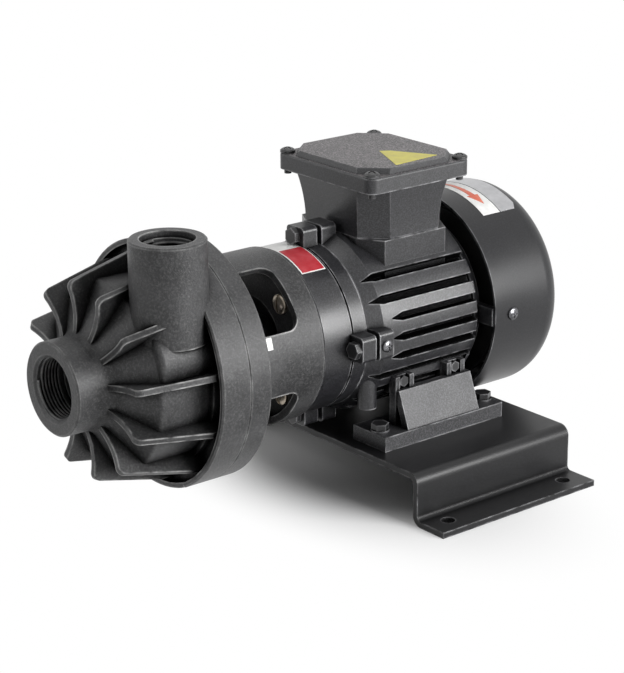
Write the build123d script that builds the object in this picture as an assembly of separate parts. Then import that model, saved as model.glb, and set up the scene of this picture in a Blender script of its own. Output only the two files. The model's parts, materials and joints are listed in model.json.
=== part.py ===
from build123d import *
import math
import os

# Close-coupled plastic chemical pump: a ribbed volute casing, a windowed lantern with a magnetic
# coupling inside, a foot mounted fan cooled motor and a folded steel base.
# Millimetres. +Z is up, +Y runs along the shaft from the inlet to the fan cowl, and the origin is the
# centre of the four base holes at floor level.

# Seats and clearances
slip = 0.05
bore_clearance = 0.2
thread_clearance = 0.1
gap = 0.3

# Folded base
plate_thickness = 4.0
plate_top = 34.4
plate_length = 133.0
web_half_width = 110.3
flange_width = 24.4
flange_half_width = web_half_width + flange_width
fold_radius = 3.0
base_hole_inset = 13.0
base_hole_x = flange_half_width - base_hole_inset
base_hole_y = 50.65
base_hole_radius = 4.5

# Motor size: centre height, foot hole grid and the place of the flange face before the feet
centre_height = 71.0
foot_hole_x = 56.0
foot_pitch_y = 90.0
foot_middle_y = -5.5
foot_hole_radius = 3.5
flange_to_foot_hole = 45.0
axis_z = plate_top + centre_height
front_foot_y = foot_middle_y - foot_pitch_y / 2
rear_foot_y = foot_middle_y + foot_pitch_y / 2
flange_y = front_foot_y - flange_to_foot_hole

# Lengths along the shaft, from the motor flange forward to the inlet face
lantern_length = 58.9
lantern_band = 15.6
casing_band = 20.8
drum_length = 30.7
cone_length = 16.0
neck_length = 21.7
lantern_front_y = flange_y - lantern_length
parting_y = lantern_front_y - lantern_band
ring_front_y = parting_y - casing_band
shoulder_y = ring_front_y - drum_length
neck_root_y = shoulder_y - cone_length
inlet_y = neck_root_y - neck_length

# Volute casing
ring_radius = 78.5
lip_width = 3.3
pocket_depth = 9.0
drum_radius = 60.0
collar_radius = 63.5
collar_length = 5.0
swell_x = 40.0
swell_z = 20.0
swell_radius = 21.5
neck_radius = 29.2
edge_break = 1.0
parting_break = 0.5
neck_blend = 9.0
shoulder_round = 3.0
rib_count = 12
rib_thickness = 4.0
rib_first_angle = 8.8
low_rib = 1
low_rib_y = -216.0
rib_rim_radius = 72.5
rib_corner_radius = 61.0
rib_corner_reach = 2.5
rib_corner_round = 4.5
rib_hollow = 4.0
rib_reach = 3.5
casing_wall = 8.0
inlet_thread_radius = 19.48
inlet_thread_depth = 20.0
outlet_x = 39.7
outlet_radius = 23.5
outlet_height = 91.6
outlet_foot = 29.0
outlet_recess_radius = 16.8
outlet_recess = 4.0
outlet_thread_radius = 15.15
outlet_thread_depth = 22.0
thread_chamfer = 1.8
outlet_passage_radius = 10.5
throat_radius = 18.0
scroll_start_radius = 46.5
scroll_end_radius = 52.5
scroll_tongue_angle = 75.0
step_angle = 97.0
step_radius = 51.0
step_sweep = 200.0
scroll_sweep = 345.0
plug_radius = 53.0
plug_length = 20.2
outlet_y = parting_y - plug_length - outlet_passage_radius

# Isolation shell
shell_flange_clearance = 1.5
shell_flange = 6.0
canister_radius = 27.0
canister_wall = 2.0
canister_end = 4.0
canister_reach = 15.4
shell_front_wall = 6.0
coupling_recess_radius = 41.5
socket_length = 6.0
socket_radius = 9.5
seal_radius = 62.5
seal_section = 1.32
seal_groove = 2.64

# Pump shaft, impeller and driven magnet
pin_radius = 6.0
pin_socket = 5.5
support_length = 10.0
support_floor = 2.0
support_hub_reach = 2.0
support_arms = 3
support_arm = 3.0
support_hub_radius = 9.0
support_rim = 2.5
support_setback = 0.5
thrust_ring = 2.6
thrust_ring_radius = 8.6
bush_radius = 9.0
impeller_radius = 44.0
shroud_thickness = 2.5
back_shroud = 3.5
impeller_gap = 2.0
vane_height = 10.0
vane_thickness = 3.0
vane_count = 6
vane_curve = 36.0
vane_offset = 4.0
vane_sink = 0.5
shroud_rise = 1.5
shroud_neck = 5.0
eye_radius = 15.0
eye_lip = 8.5
eye_reach = 3.0
eye_clearance = 0.6
impeller_hub_radius = 11.5
impeller_hub_taper = 8.0
impeller_hub_flare = 2.0
driven_magnet_radius = 25.8
capsule_bevel = 2.0

# Outer magnet hub on the motor shaft
drive_magnet_inner = 31.0
drive_magnet_thickness = 4.7
drive_magnet_length = 31.0
drive_magnet_count = 8
cup_wall = 4.2
cup_length = 48.0
cup_end = 6.0
cup_end_gap = 4.0
sleeve_radius = 14.0
sleeve_flange_gap = 5.5
grub_radius = 2.5
grub_socket = 1.2
grub_socket_depth = 3.0
magnet_setback = 2.0
magnet_gap_angle = 3.0
cup_bevel = 2.0

# Lantern
lantern_radius = 56.5
lantern_wall = 5.0
lantern_rear_wall = 14.0
lantern_bore = 28.0
window_span = 47.5
window_length = 32.7
window_rear_setback = 17.3
window_corner = 8.0
window_count = 4
window_first_angle = 45.0
flange_screw_circle = 85.0
flange_screw_radius = 3.0
flange_screw_head = 6.3
flange_screw_head_height = 4.0
flange_screw_bite = 6.0
flange_screw_count = 4
flange_screw_angle = 45.0
flange_slot = 1.5
flange_slot_depth = 1.6
casing_screw_circle = 141.0
casing_screw_count = 8
casing_screw_radius = 3.0
casing_screw_head = 5.0
casing_screw_head_height = 6.0
casing_screw_bite = 8.0
casing_socket = 2.9
casing_socket_depth = 3.0
counterbore_depth = 6.5
tab_angle = 16.5
tab_span = 7.0
tab_length = 14.0
tab_thickness = 1.0

# Motor
drum_outer = 55.0
shield_length = 35.4
shield_wall = 8.0
shield_rim = 5.0
spigot_radius = 35.0
spigot_length = 2.5
shield_groove_setback = 11.0
groove_width = 1.2
groove_depth = 1.0
shaft_hole_clearance = 1.5
bearing_outer = 17.5
bearing_inner = 7.5
bearing_width = 11.0
bearing_wall = 4.5
bearing_groove = 0.6
bearing_race = 2.3
frame_length = 91.7
frame_wall = 6.5
fin_radius = 60.0
fin_ramp = 10.0
fin_end_bevel = 2.0
slot_width = 5.8
slot_floor_width = 4.2
slot_floor_radius = 53.0
slot_first_angle = 38.0
slot_pitch = 12.6
top_slot_lift = 2.0
side_slots = 10
slot_setback = 3.5
lug_slot_setback = 17.0
slot_nose = 9.0
slot_tip_width = 0.8
cable_hole_radius = 10.0
foot_boss_depth = 15.0
spare_boss_radius = 6.2
spare_boss_x = 45.0
spare_boss_setback = 8.0
spare_boss_drop = 48.0
lug_radius = 67.0
lug_width = 17.0
frame_lug_width = 19.0
lug_round = 3.0
shield_lug_length = 11.2
frame_lug_length = 11.6
lug_gap = 2.9
lug_count = 4
tie_bolt_circle = 122.0
tie_bolt_radius = 3.0
tie_bolt_head = 5.7
tie_bolt_head_height = 4.0
earth_screw_radius = 4.0
earth_screw_height = 2.5
earth_slot = 1.2
earth_slot_depth = 1.2
rear_shield_length = 8.5
rear_shield_rim = 5.0
rear_spigot = 3.0
rear_spigot_wall = 4.0
rear_boss_length = 2.5
cowl_arm_height = 2.8
cowl_arm_width = 12.0
cowl_arm_setback = 3.0
cowl_arm_tail = 7.0
cowl_web_radius = 20.0
cowl_web_thickness = 5.0

# Shaft and rotor
shaft_radius = 7.0
shaft_extension = 30.0
rotor_shaft_radius = 9.0
fan_seat_radius = 6.0
key_width = 5.0
key_length = 18.0
key_depth = 3.0
key_setback = 4.0
stack_setback = 10.0
stack_length = 56.0
rotor_overhang = 3.0
rotor_radius = 27.7
air_gap = 0.3
winding_length = 11.0
winding_inner = 31.0
winding_outer = 44.0

# Fan and cowl
cowl_base_clearance = 0.4
cowl_radius = centre_height - cowl_base_clearance
cowl_length = 63.7
cowl_front_gap = 4.4
cowl_sheet = 1.5
cowl_rounding = 16.0
cowl_screw_setback = 15.5
cowl_screw_count = 3
cowl_screw_radius = 2.0
cowl_screw_head = 4.2
cowl_screw_head_height = 2.2
cowl_slot = 1.0
cowl_slot_depth = 1.0
grille_rings = 3
grille_first_radius = 20.0
grille_ring_pitch = 13.0
grille_slot_width = 5.5
grille_web = 6.0
grille_first_count = 4
grille_step_count = 2
fan_setback = 10.0
fan_plate = 2.5
fan_radius = 60.0
fan_blade_height = 21.0
fan_blade_thickness = 2.0
fan_blade_count = 8
fan_hub_radius = 13.0
fan_hub_setback = 4.0

# Feet
foot_pad = 9.9
foot_outer_x = 68.65
foot_inner_x = 37.0
foot_half_length = 51.15
foot_leg_outer_x = 67.7
foot_leg_top_x = 58.5
foot_leg_top = 33.9
foot_leg_half_length = 31.0
foot_leg_wall = 5.0
foot_leg_root = 1.0
foot_clearance = 2.0
foot_tab_middle_y = -7.5
tab_half_pitch = 22.2
foot_tab_x = 50.0
foot_tab_thickness = 6.0
foot_tab_web = 2.5
foot_tab_width = 15.5
foot_tab_slot = 8.2
foot_tab_top = 42.5
foot_screw_height = 38.5
foot_screw_radius = 2.5
foot_screw_head = 3.8
foot_screw_head_height = 3.0
foot_screw_bite = 8.0
foot_bolt_radius = 3.0
foot_bolt_head = 5.77
foot_bolt_head_height = 4.0
foot_bolt_washer = 6.0
washer_thickness = 1.2
nut_height = 5.0
bolt_tail = 3.0

# Terminal box
box_y = -9.0
pedestal_half_x = 42.0
pedestal_cut_x = 17.0
pedestal_cut_y = 9.7
pedestal_top = 59.2
box_half_x = 45.0
box_half_y = 39.5
box_corner_cut = 15.0
box_foot_inset = 4.0
box_height = 33.4
box_cable_hole = 8.0
box_wall = 3.0
lid_half_x = 48.0
lid_half_y = 42.5
lid_corner = 7.0
lid_edge_round = 1.4
lid_depth = 10.5
lid_plate = 4.0
lid_wall = 2.5
lid_panel_height = 3.5
lid_panel_margin = 2.5
lid_panel_cut = 15.0
lid_panel_bevel = 2.0
gasket_thickness = 1.0
box_flange = 4.5
lid_screw_inset_x = 5.6
lid_screw_inset_y = 5.4
lid_screw_radius = 2.4
lid_screw_head = 5.0
lid_screw_head_height = 3.0
lid_screw_tail = 3.5
lid_socket = 2.0
lid_socket_depth = 1.8
gland_height = 12.9
gland_thread = 8.0
gland_hex = 11.0
gland_boss = 2.2
gland_thread_length = 7.0
gland_hex_length = 6.0
gland_cap_length = 13.0
gland_cap_radius = 10.0
cable_radius = 4.0
block_length = 52.0
block_width = 15.6
block_height = 12.0
block_setback = 14.0
block_groove = 1.6
block_groove_depth = 3.0
stud_pitch = 18.0
stud_row = 7.0
stud_radius = 2.0
stud_height = 7.0
stud_nut = 3.5
stud_nut_height = 2.5

# Places that follow
shaft_axis = Axis((0, 0, axis_z), (0, 1, 0))
shaft_side = Plane(origin=(0, 0, axis_z), x_dir=(0, 1, 0), z_dir=(1, 0, 0))
shield_rear_y = flange_y + shield_length
frame_rear_y = shield_rear_y + frame_length
cowl_front_y = frame_rear_y + cowl_front_gap
cowl_rear_y = cowl_front_y + cowl_length
plug_front_y = parting_y - plug_length
chamber_front_y = shoulder_y + casing_wall
thread_end_y = inlet_y + inlet_thread_depth
back_shroud_y = plug_front_y - impeller_gap
vane_root_y = back_shroud_y - back_shroud
vane_tip_y = vane_root_y - vane_height
eye_front_y = vane_tip_y - shroud_thickness - eye_lip - eye_reach
support_y = eye_front_y - support_setback
support_front_y = support_y - support_length
support_hub_y = support_y + support_hub_reach
hub_front_y = support_hub_y + thrust_ring + gap
canister_end_y = lantern_front_y + canister_reach
canister_inside_y = canister_end_y - canister_end
socket_front_y = canister_inside_y - socket_length
driven_end_y = socket_front_y - thrust_ring - gap
cup_rear_y = canister_end_y + cup_end_gap + cup_end
cup_front_y = cup_rear_y - cup_end - cup_length
sleeve_end_y = flange_y - sleeve_flange_gap
stack_front_y = shield_rear_y + stack_setback
fan_front_y = cowl_front_y + fan_setback
key_y = flange_y - shaft_extension + key_setback
cowl_screw_y = cowl_front_y + cowl_screw_setback
cowl_arm_radius = cowl_radius - cowl_sheet - gap - cowl_arm_height
shell_flange_radius = casing_screw_circle / 2 - casing_screw_radius - shell_flange_clearance
pedestal_z = axis_z + pedestal_top
box_top_z = pedestal_z + box_height
lid_top_z = box_top_z + lid_depth
lip_inner = ring_radius - lip_width
pocket_y = ring_front_y + pocket_depth


def turned(*outline):
    """Solid turned about the shaft from its (y, radius) corners."""
    return revolve(shaft_side * make_face(Polyline(*outline, close=True)), shaft_axis)


def ring(front, rear, outer, inner=0.0):
    """Plain turned ring or disc between two places along the shaft."""
    return turned((front, inner), (rear, inner), (rear, outer), (front, outer))


def turn(shape, angle):
    """Copy turned about the shaft, positive from the +X side up to the top."""
    return shape.rotate(shaft_axis, -angle)


def around(shape, count, first=0.0):
    """Copies evenly spaced about the shaft."""
    return [turn(shape, first + 360.0 * i / count) for i in range(count)]


def across(y):
    """Plane square to the shaft, with +X across, +Z up and its normal towards the inlet."""
    return Plane(origin=(0, y, axis_z), x_dir=(1, 0, 0), z_dir=(0, -1, 0))


def slab(sketch, front, rear):
    """Sketch in the plane square to the shaft, made solid between two places along it."""
    return extrude(across(rear) * sketch, rear - front)


def rod(radius, front, rear, x=0.0, z=0.0):
    """Round bar parallel to the shaft at an offset from it."""
    return slab(Pos(x, z) * Circle(radius), front, rear)


def hexagon(radius, front, rear, x=0.0, z=0.0):
    """Hexagonal bar parallel to the shaft, sized by its corner radius."""
    return slab(Pos(x, z) * RegularPolygon(radius, 6), front, rear)


def block(x_range, y_range, z_range):
    """Box between two places along each axis."""
    size = [high - low for low, high in (x_range, y_range, z_range)]
    corner = Pos(x_range[0], y_range[0], z_range[0])
    return corner * Box(*size, align=(Align.MIN, Align.MIN, Align.MIN))


def post(radius, x, y, low, high):
    """Upright round bar."""
    return Pos(x, y, low) * Cylinder(radius, high - low, align=(Align.CENTER, Align.CENTER, Align.MIN))


def hex_post(radius, x, y, low, high):
    """Upright hexagonal bar, sized by its corner radius."""
    return Pos(x, y, low) * extrude(RegularPolygon(radius, 6), high - low)


def cross_bar(radius, y, z, low, high):
    """Round bar along X."""
    return extrude(Plane(origin=(low, y, z), z_dir=(1, 0, 0)) * Circle(radius), high - low)


# Volute casing


def rib(rim_y, foot_y):
    """Radial plate with a hollowed front edge, a rounded corner and a flared outer edge."""
    root = neck_root_y - rib_reach
    corner_y = neck_root_y - rib_corner_reach
    inside = neck_radius - rib_thickness
    middle = (neck_root_y + rib_hollow - rib_reach, (inside + rib_corner_radius) / 2)
    front = ThreePointArc((root, inside), middle, (corner_y, rib_corner_radius))
    rim = (rim_y, rib_rim_radius)
    rest = Polyline((corner_y, rib_corner_radius), rim, (foot_y, rib_rim_radius), (foot_y, inside), (root, inside))
    section = make_face([front, rest])
    corner = section.vertices().sort_by_distance((corner_y, rib_corner_radius, 0))[0]
    section = fillet(corner, rib_corner_round)
    return extrude(shaft_side * section, rib_thickness / 2, both=True)


def casing_profile():
    """Half section of the casing body: neck, blended cone, rounded shoulder, collar, pocket and lip."""
    collar_y = pocket_y - collar_length
    corners = Polyline(
        (inlet_y, 0),
        (inlet_y, neck_radius - edge_break),
        (inlet_y + edge_break, neck_radius),
        (neck_root_y, neck_radius),
        (shoulder_y, drum_radius),
        (collar_y, drum_radius),
        (collar_y, collar_radius),
        (pocket_y, collar_radius),
        (pocket_y, lip_inner),
        (ring_front_y, lip_inner),
        (ring_front_y, ring_radius - edge_break),
        (ring_front_y + edge_break, ring_radius),
        (parting_y - parting_break, ring_radius),
        (parting_y, ring_radius - parting_break),
        (parting_y, 0),
        close=True,
    )
    section = make_face(corners)
    for place, radius in (((neck_root_y, neck_radius), neck_blend), ((shoulder_y, drum_radius), shoulder_round)):
        corner = section.vertices().sort_by_distance((*place, 0))[0]
        section = fillet(corner, radius)
    return section


def swell():
    """Outward swell of the volute wall below the outlet."""
    edges = Circle(drum_radius - parting_break).edges() + (Pos(swell_x, swell_z) * Circle(swell_radius)).edges()
    shape = slab(make_hull(edges), shoulder_y, pocket_y + edge_break)
    front = shape.edges().group_by(Axis.Y)[0]
    return fillet(front, shoulder_round)


def scroll_step():
    """What the drum leaves out where the volute starts small beside the outlet."""
    steps = 8
    points = []
    for i in range(steps + 1):
        angle = math.radians(step_angle + step_sweep * i / steps)
        radius = step_radius + (drum_radius - step_radius) * i / steps
        points.append((radius * math.cos(angle), radius * math.sin(angle)))
    wide = 2 * drum_radius
    start = math.radians(step_angle)
    end = math.radians(step_angle + step_sweep)
    inner = make_face([Spline(*points), Line(points[-1], (0, 0)), Line((0, 0), points[0])])
    sector = make_face(Polyline(
        (0, 0),
        (wide * math.cos(start), wide * math.sin(start)),
        (-wide, wide),
        (-wide, -wide),
        (wide * math.cos(end), wide * math.sin(end)),
        close=True,
    ))
    return slab(sector - inner, neck_root_y, pocket_y - collar_length)


def ribs():
    """Ribs all round the casing; the one in front of the outlet ends on it."""
    plates = []
    for i in range(rib_count):
        angle = rib_first_angle + 360.0 * i / rib_count
        if i == low_rib:
            plate = rib(low_rib_y, low_rib_y + edge_break)
        else:
            plate = rib(ring_front_y, pocket_y + edge_break)
        plates.append(turn(plate, angle - 90.0))
    return plates


def scroll():
    """Volute chamber: its radius grows steadily round to the outlet."""
    steps = 10
    points = []
    for i in range(steps + 1):
        angle = math.radians(scroll_tongue_angle + scroll_sweep * i / steps)
        radius = scroll_start_radius + (scroll_end_radius - scroll_start_radius) * i / steps
        points.append((radius * math.cos(angle), radius * math.sin(angle)))
    outline = make_face([Spline(*points), Line(points[-1], points[0])])
    return slab(outline, chamber_front_y, plug_front_y + edge_break)


def front_casing():
    """Ribbed volute casing with the threaded inlet on the shaft line and the offset outlet on top."""
    shape = revolve(shaft_side * casing_profile(), shaft_axis) - scroll_step()
    shape = shape + swell() + ribs()
    outlet = post(outlet_radius, outlet_x, outlet_y, axis_z + outlet_foot, axis_z + outlet_height)
    outlet = chamfer(outlet.edges().group_by(Axis.Z)[-1], edge_break)
    shape = shape + outlet
    shape = shape - ring(inlet_y, thread_end_y, inlet_thread_radius)
    shape = shape - turned(
        (inlet_y, 0),
        (inlet_y, inlet_thread_radius + thread_chamfer),
        (inlet_y + thread_chamfer, inlet_thread_radius),
        (inlet_y + thread_chamfer, 0),
    )
    shape = shape - ring(thread_end_y, chamber_front_y + edge_break, throat_radius)
    shape = shape - scroll()
    shape = shape - ring(plug_front_y, parting_y, plug_radius)
    groove_inner = seal_radius - seal_section - bore_clearance
    groove_outer = seal_radius + seal_section + bore_clearance
    shape = shape - ring(parting_y - seal_groove, parting_y, groove_outer, groove_inner)
    top = axis_z + outlet_height
    shape = shape - post(outlet_thread_radius, outlet_x, outlet_y, top - outlet_thread_depth, top)
    shape = shape - post(outlet_recess_radius, outlet_x, outlet_y, top - outlet_recess, top)
    shape = shape - post(outlet_passage_radius, outlet_x, outlet_y, axis_z, top - outlet_thread_depth)
    hole_end_y = parting_y - casing_screw_bite - edge_break
    hole = rod(casing_screw_radius + slip, hole_end_y, parting_y, casing_screw_circle / 2)
    return shape - around(hole, casing_screw_count, 180.0 / casing_screw_count)


def casing_seal():
    """Rubber ring in the groove of the volute casing."""
    section = Pos(parting_y - seal_section, seal_radius) * Circle(seal_section)
    return revolve(shaft_side * section, shaft_axis)


def isolation_shell():
    """Back plate of the wet end with the thin canister between the two magnet rings."""
    outside = canister_radius + canister_wall
    recess_y = plug_front_y + shell_front_wall
    flange_rear_y = parting_y + shell_flange
    socket_floor_y = socket_front_y + pin_socket
    return turned(
        (plug_front_y, canister_radius),
        (plug_front_y, plug_radius - bore_clearance),
        (parting_y, plug_radius - bore_clearance),
        (parting_y, shell_flange_radius),
        (flange_rear_y, shell_flange_radius),
        (flange_rear_y, coupling_recess_radius),
        (recess_y, coupling_recess_radius),
        (recess_y, outside),
        (canister_end_y, outside),
        (canister_end_y, 0),
        (socket_floor_y, 0),
        (socket_floor_y, pin_radius + slip),
        (socket_front_y, pin_radius + slip),
        (socket_front_y, socket_radius),
        (canister_inside_y, socket_radius),
        (canister_inside_y, canister_radius),
    )


# Pump shaft, impeller and driven magnet


def shaft_support():
    """Three armed spider in the inlet throat that carries the front of the pump shaft."""
    rim = ring(support_front_y, support_y, throat_radius - slip, throat_radius - support_rim)
    hub = ring(support_front_y, support_hub_y, support_hub_radius)
    reach = throat_radius - support_rim / 2
    arm = slab(Pos(reach / 2, 0) * Rectangle(reach, support_arm), support_front_y, support_y)
    shape = rim + hub + around(arm, support_arms, 90.0)
    return shape - ring(support_front_y + support_floor, support_hub_y, pin_radius + slip)


def pump_shaft():
    """Fixed ceramic pin that the impeller turns on."""
    return ring(support_front_y + support_floor + gap, socket_front_y + pin_socket - gap, pin_radius)


def front_thrust_ring():
    """Ceramic ring between the spider and the impeller."""
    return ring(support_hub_y, support_hub_y + thrust_ring, thrust_ring_radius, pin_radius + slip)


def rear_thrust_ring():
    """Ceramic ring between the driven magnet and the shell."""
    return ring(socket_front_y - thrust_ring, socket_front_y, thrust_ring_radius, pin_radius + slip)


def vane():
    """One backward curved vane."""
    curve = Circle(vane_curve + vane_thickness / 2) - Circle(vane_curve - vane_thickness / 2)
    blade = Pos(impeller_hub_radius, vane_curve - vane_offset) * curve
    blade = blade & (Circle(impeller_radius - slip) - Circle(impeller_hub_radius - vane_sink))
    side = 2 * impeller_radius
    blade = blade & (Pos(impeller_radius, 0) * Rectangle(side, side))
    blade = blade & (Pos(0, vane_curve - vane_offset - impeller_radius) * Rectangle(2 * side, side))
    return slab(blade, vane_tip_y - shroud_rise + vane_sink / 2, vane_root_y + vane_sink)


def impeller():
    """Closed impeller with curved vanes between two shrouds."""
    back = ring(vane_root_y, back_shroud_y, impeller_radius)
    hub = turned(
        (hub_front_y, 0),
        (hub_front_y, bush_radius + impeller_hub_flare / 2),
        (hub_front_y + impeller_hub_taper, impeller_hub_radius),
        (vane_root_y, impeller_hub_radius + impeller_hub_flare),
        (vane_root_y, 0),
    )
    lip_rear_y = eye_front_y + eye_lip
    lip_radius = throat_radius - eye_clearance
    neck_y = vane_tip_y - shroud_rise
    shroud = turned(
        (eye_front_y, eye_radius),
        (eye_front_y, lip_radius),
        (lip_rear_y, lip_radius),
        (neck_y - shroud_thickness, lip_radius + shroud_neck),
        (vane_tip_y - shroud_thickness, impeller_radius),
        (vane_tip_y, impeller_radius),
        (neck_y, lip_radius + shroud_neck),
        (neck_y - shroud_rise, eye_radius),
    )
    shape = back + hub + shroud + around(vane(), vane_count)
    return shape - ring(hub_front_y, back_shroud_y, bush_radius + slip)


def driven_magnet():
    """Moulded capsule of the driven magnets behind the impeller."""
    return turned(
        (back_shroud_y, bush_radius + slip),
        (back_shroud_y, driven_magnet_radius),
        (driven_end_y - capsule_bevel, driven_magnet_radius),
        (driven_end_y, driven_magnet_radius - capsule_bevel),
        (driven_end_y, bush_radius + slip),
    )


def impeller_bush():
    """Carbon bush that runs on the fixed pin."""
    return ring(hub_front_y, driven_end_y, bush_radius, pin_radius + slip)


# Outer magnet hub


def magnet_hub():
    """Cup that carries the drive magnets, with a keyed sleeve on the motor shaft."""
    inner = drive_magnet_inner + drive_magnet_thickness + slip
    outer = inner + cup_wall
    plate_y = cup_rear_y - cup_end
    shape = turned(
        (cup_front_y, inner),
        (cup_front_y, outer),
        (cup_rear_y - cup_bevel, outer),
        (cup_rear_y, outer - cup_bevel),
        (cup_rear_y, sleeve_radius),
        (sleeve_end_y, sleeve_radius),
        (sleeve_end_y, shaft_radius + slip),
        (plate_y, shaft_radius + slip),
        (plate_y, inner),
    )
    key_half = key_width / 2 + slip
    key_top = shaft_radius - key_depth + key_width + bore_clearance
    shape = shape - slab(Pos(0, key_top / 2) * Rectangle(2 * key_half, key_top), plate_y, sleeve_end_y)
    grub_y = (cup_rear_y + sleeve_end_y) / 2
    return shape - cross_bar(grub_radius + slip, grub_y, axis_z, 0, sleeve_radius)


def hub_grub_screw():
    """Grub screw through the sleeve onto the motor shaft."""
    grub_y = (cup_rear_y + sleeve_end_y) / 2
    shape = cross_bar(grub_radius, grub_y, axis_z, shaft_radius + slip, sleeve_radius - gap)
    return shape - cross_bar(grub_socket, grub_y, axis_z, sleeve_radius - grub_socket_depth, sleeve_radius)


def drive_magnets():
    """Ring of magnet segments inside the cup."""
    inner = drive_magnet_inner
    outer = inner + drive_magnet_thickness
    full = Circle(outer) - Circle(inner)
    half = 180.0 / drive_magnet_count - magnet_gap_angle / 2
    reach = 2 * outer
    wedge = make_face(Polyline(
        (0, 0),
        (reach, -reach * math.tan(math.radians(half))),
        (reach, reach * math.tan(math.radians(half))),
        close=True,
    ))
    front = cup_front_y + magnet_setback
    segment = slab(full & wedge, front, front + drive_magnet_length)
    return Compound(around(segment, drive_magnet_count))


# Lantern


def lantern():
    """Windowed lantern that joins the casing ring to the motor flange."""
    inside = lantern_radius - lantern_wall
    rear_wall_y = flange_y - lantern_rear_wall
    recess_y = parting_y + shell_flange
    shape = turned(
        (parting_y, shell_flange_radius + bore_clearance),
        (parting_y, ring_radius - parting_break),
        (parting_y + parting_break, ring_radius),
        (lantern_front_y - edge_break, ring_radius),
        (lantern_front_y, ring_radius - edge_break),
        (lantern_front_y, lantern_radius),
        (flange_y - edge_break, lantern_radius),
        (flange_y, lantern_radius - edge_break),
        (flange_y, spigot_radius + slip),
        (flange_y - spigot_length - gap, spigot_radius + slip),
        (flange_y - spigot_length - gap, lantern_bore),
        (rear_wall_y, lantern_bore),
        (rear_wall_y, inside),
        (recess_y, inside),
        (recess_y, shell_flange_radius + bore_clearance),
    )
    width = 2 * lantern_radius * math.sin(math.radians(window_span / 2))
    window_y = flange_y - window_rear_setback - window_length / 2
    face = Plane(origin=(0, window_y, axis_z), x_dir=(0, 1, 0), z_dir=(1, 0, 0))
    window = extrude(face * RectangleRounded(window_length, width, window_corner), 2 * lantern_radius)
    shape = shape - around(window, window_count, window_first_angle)
    hole = rod(flange_screw_radius + thread_clearance, rear_wall_y, flange_y, flange_screw_circle / 2)
    shape = shape - around(hole, flange_screw_count, flange_screw_angle)
    hole = rod(casing_screw_radius + thread_clearance, parting_y, lantern_front_y, casing_screw_circle / 2)
    seat_y = lantern_front_y - counterbore_depth
    hole = hole + rod(casing_screw_head + bore_clearance, seat_y, lantern_front_y, casing_screw_circle / 2)
    return shape - around(hole, casing_screw_count, 180.0 / casing_screw_count)


def casing_screws():
    """Socket head screws put in from behind through the lantern flange."""
    seat_y = lantern_front_y - counterbore_depth
    x = casing_screw_circle / 2
    screw = rod(casing_screw_radius, parting_y - casing_screw_bite, seat_y, x)
    screw = screw + rod(casing_screw_head, seat_y, seat_y + casing_screw_head_height, x)
    head_y = seat_y + casing_screw_head_height
    screw = screw - hexagon(casing_socket, head_y - casing_socket_depth, head_y, x)
    return Compound(around(screw, casing_screw_count, 180.0 / casing_screw_count))


def lantern_screws():
    """Slotted screws from inside the lantern into the motor flange."""
    seat_y = flange_y - lantern_rear_wall
    x = flange_screw_circle / 2
    head_y = seat_y - flange_screw_head_height
    screw = rod(flange_screw_radius, seat_y, flange_y + flange_screw_bite, x)
    screw = screw + rod(flange_screw_head, head_y, seat_y, x)
    slot = Pos(x, 0) * Rectangle(flange_slot, 4 * flange_screw_head)
    screw = screw - slab(slot, head_y, head_y + flange_slot_depth)
    return Compound(around(screw, flange_screw_count, flange_screw_angle))


def white_tab():
    """Small white tab on the lantern behind the casing ring."""
    half = math.radians(tab_span / 2)
    band = Circle(lantern_radius + tab_thickness) - Circle(lantern_radius)
    reach = 2 * lantern_radius
    wedge = make_face(Polyline((0, 0), (reach, -reach * math.tan(half)), (reach, reach * math.tan(half)), close=True))
    shape = slab(band & wedge, lantern_front_y, lantern_front_y + tab_length)
    return turn(shape, tab_angle)


# Motor


def lug(front, rear, width):
    """Rounded lug on the motor drum for one tie bolt."""
    low = drum_outer - frame_wall / 2
    profile = Pos((low + lug_radius) / 2, 0) * Rectangle(lug_radius - low, width)
    outer = profile.vertices().group_by(Axis.X)[-1]
    return slab(fillet(outer, lug_round), front, rear)


def drive_end_shield():
    """Front end shield: flange face with spigot, bearing seat and four bolt lugs."""
    groove_y = shield_rear_y - shield_groove_setback
    wall_y = flange_y + shield_wall
    inside = drum_outer - shield_rim
    seat_end_y = wall_y + bearing_width
    shape = turned(
        (flange_y - spigot_length, shaft_radius + shaft_hole_clearance),
        (flange_y - spigot_length, spigot_radius),
        (flange_y, spigot_radius),
        (flange_y, drum_outer - edge_break),
        (flange_y + edge_break, drum_outer),
        (groove_y - groove_width, drum_outer),
        (groove_y - groove_width, drum_outer - groove_depth),
        (groove_y, drum_outer - groove_depth),
        (groove_y, drum_outer),
        (shield_rear_y, drum_outer),
        (shield_rear_y, inside),
        (wall_y, inside),
        (wall_y, bearing_outer + bearing_wall),
        (seat_end_y, bearing_outer + bearing_wall),
        (seat_end_y, bearing_outer + slip),
        (wall_y, bearing_outer + slip),
        (wall_y, shaft_radius + shaft_hole_clearance),
    )
    lug_rear_y = shield_rear_y - lug_gap
    shape = shape + around(lug(lug_rear_y - shield_lug_length, lug_rear_y, lug_width), lug_count)
    bolt = rod(tie_bolt_radius + thread_clearance, lug_rear_y - shield_lug_length, lug_rear_y, tie_bolt_circle / 2)
    shape = shape - around(bolt, lug_count)
    hole_end_y = flange_y + flange_screw_bite + edge_break
    hole = rod(flange_screw_radius + slip, flange_y, hole_end_y, flange_screw_circle / 2)
    return shape - around(hole, flange_screw_count, flange_screw_angle)


def bearing(front):
    """Sealed ball bearing."""
    rear = front + bearing_width
    shape = ring(front, rear, bearing_outer, bearing_inner + slip)
    outer = bearing_outer - bearing_race
    inner = bearing_inner + bearing_race
    shape = shape - ring(front, front + bearing_groove, outer, inner)
    return shape - ring(rear - bearing_groove, rear, outer, inner)


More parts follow.
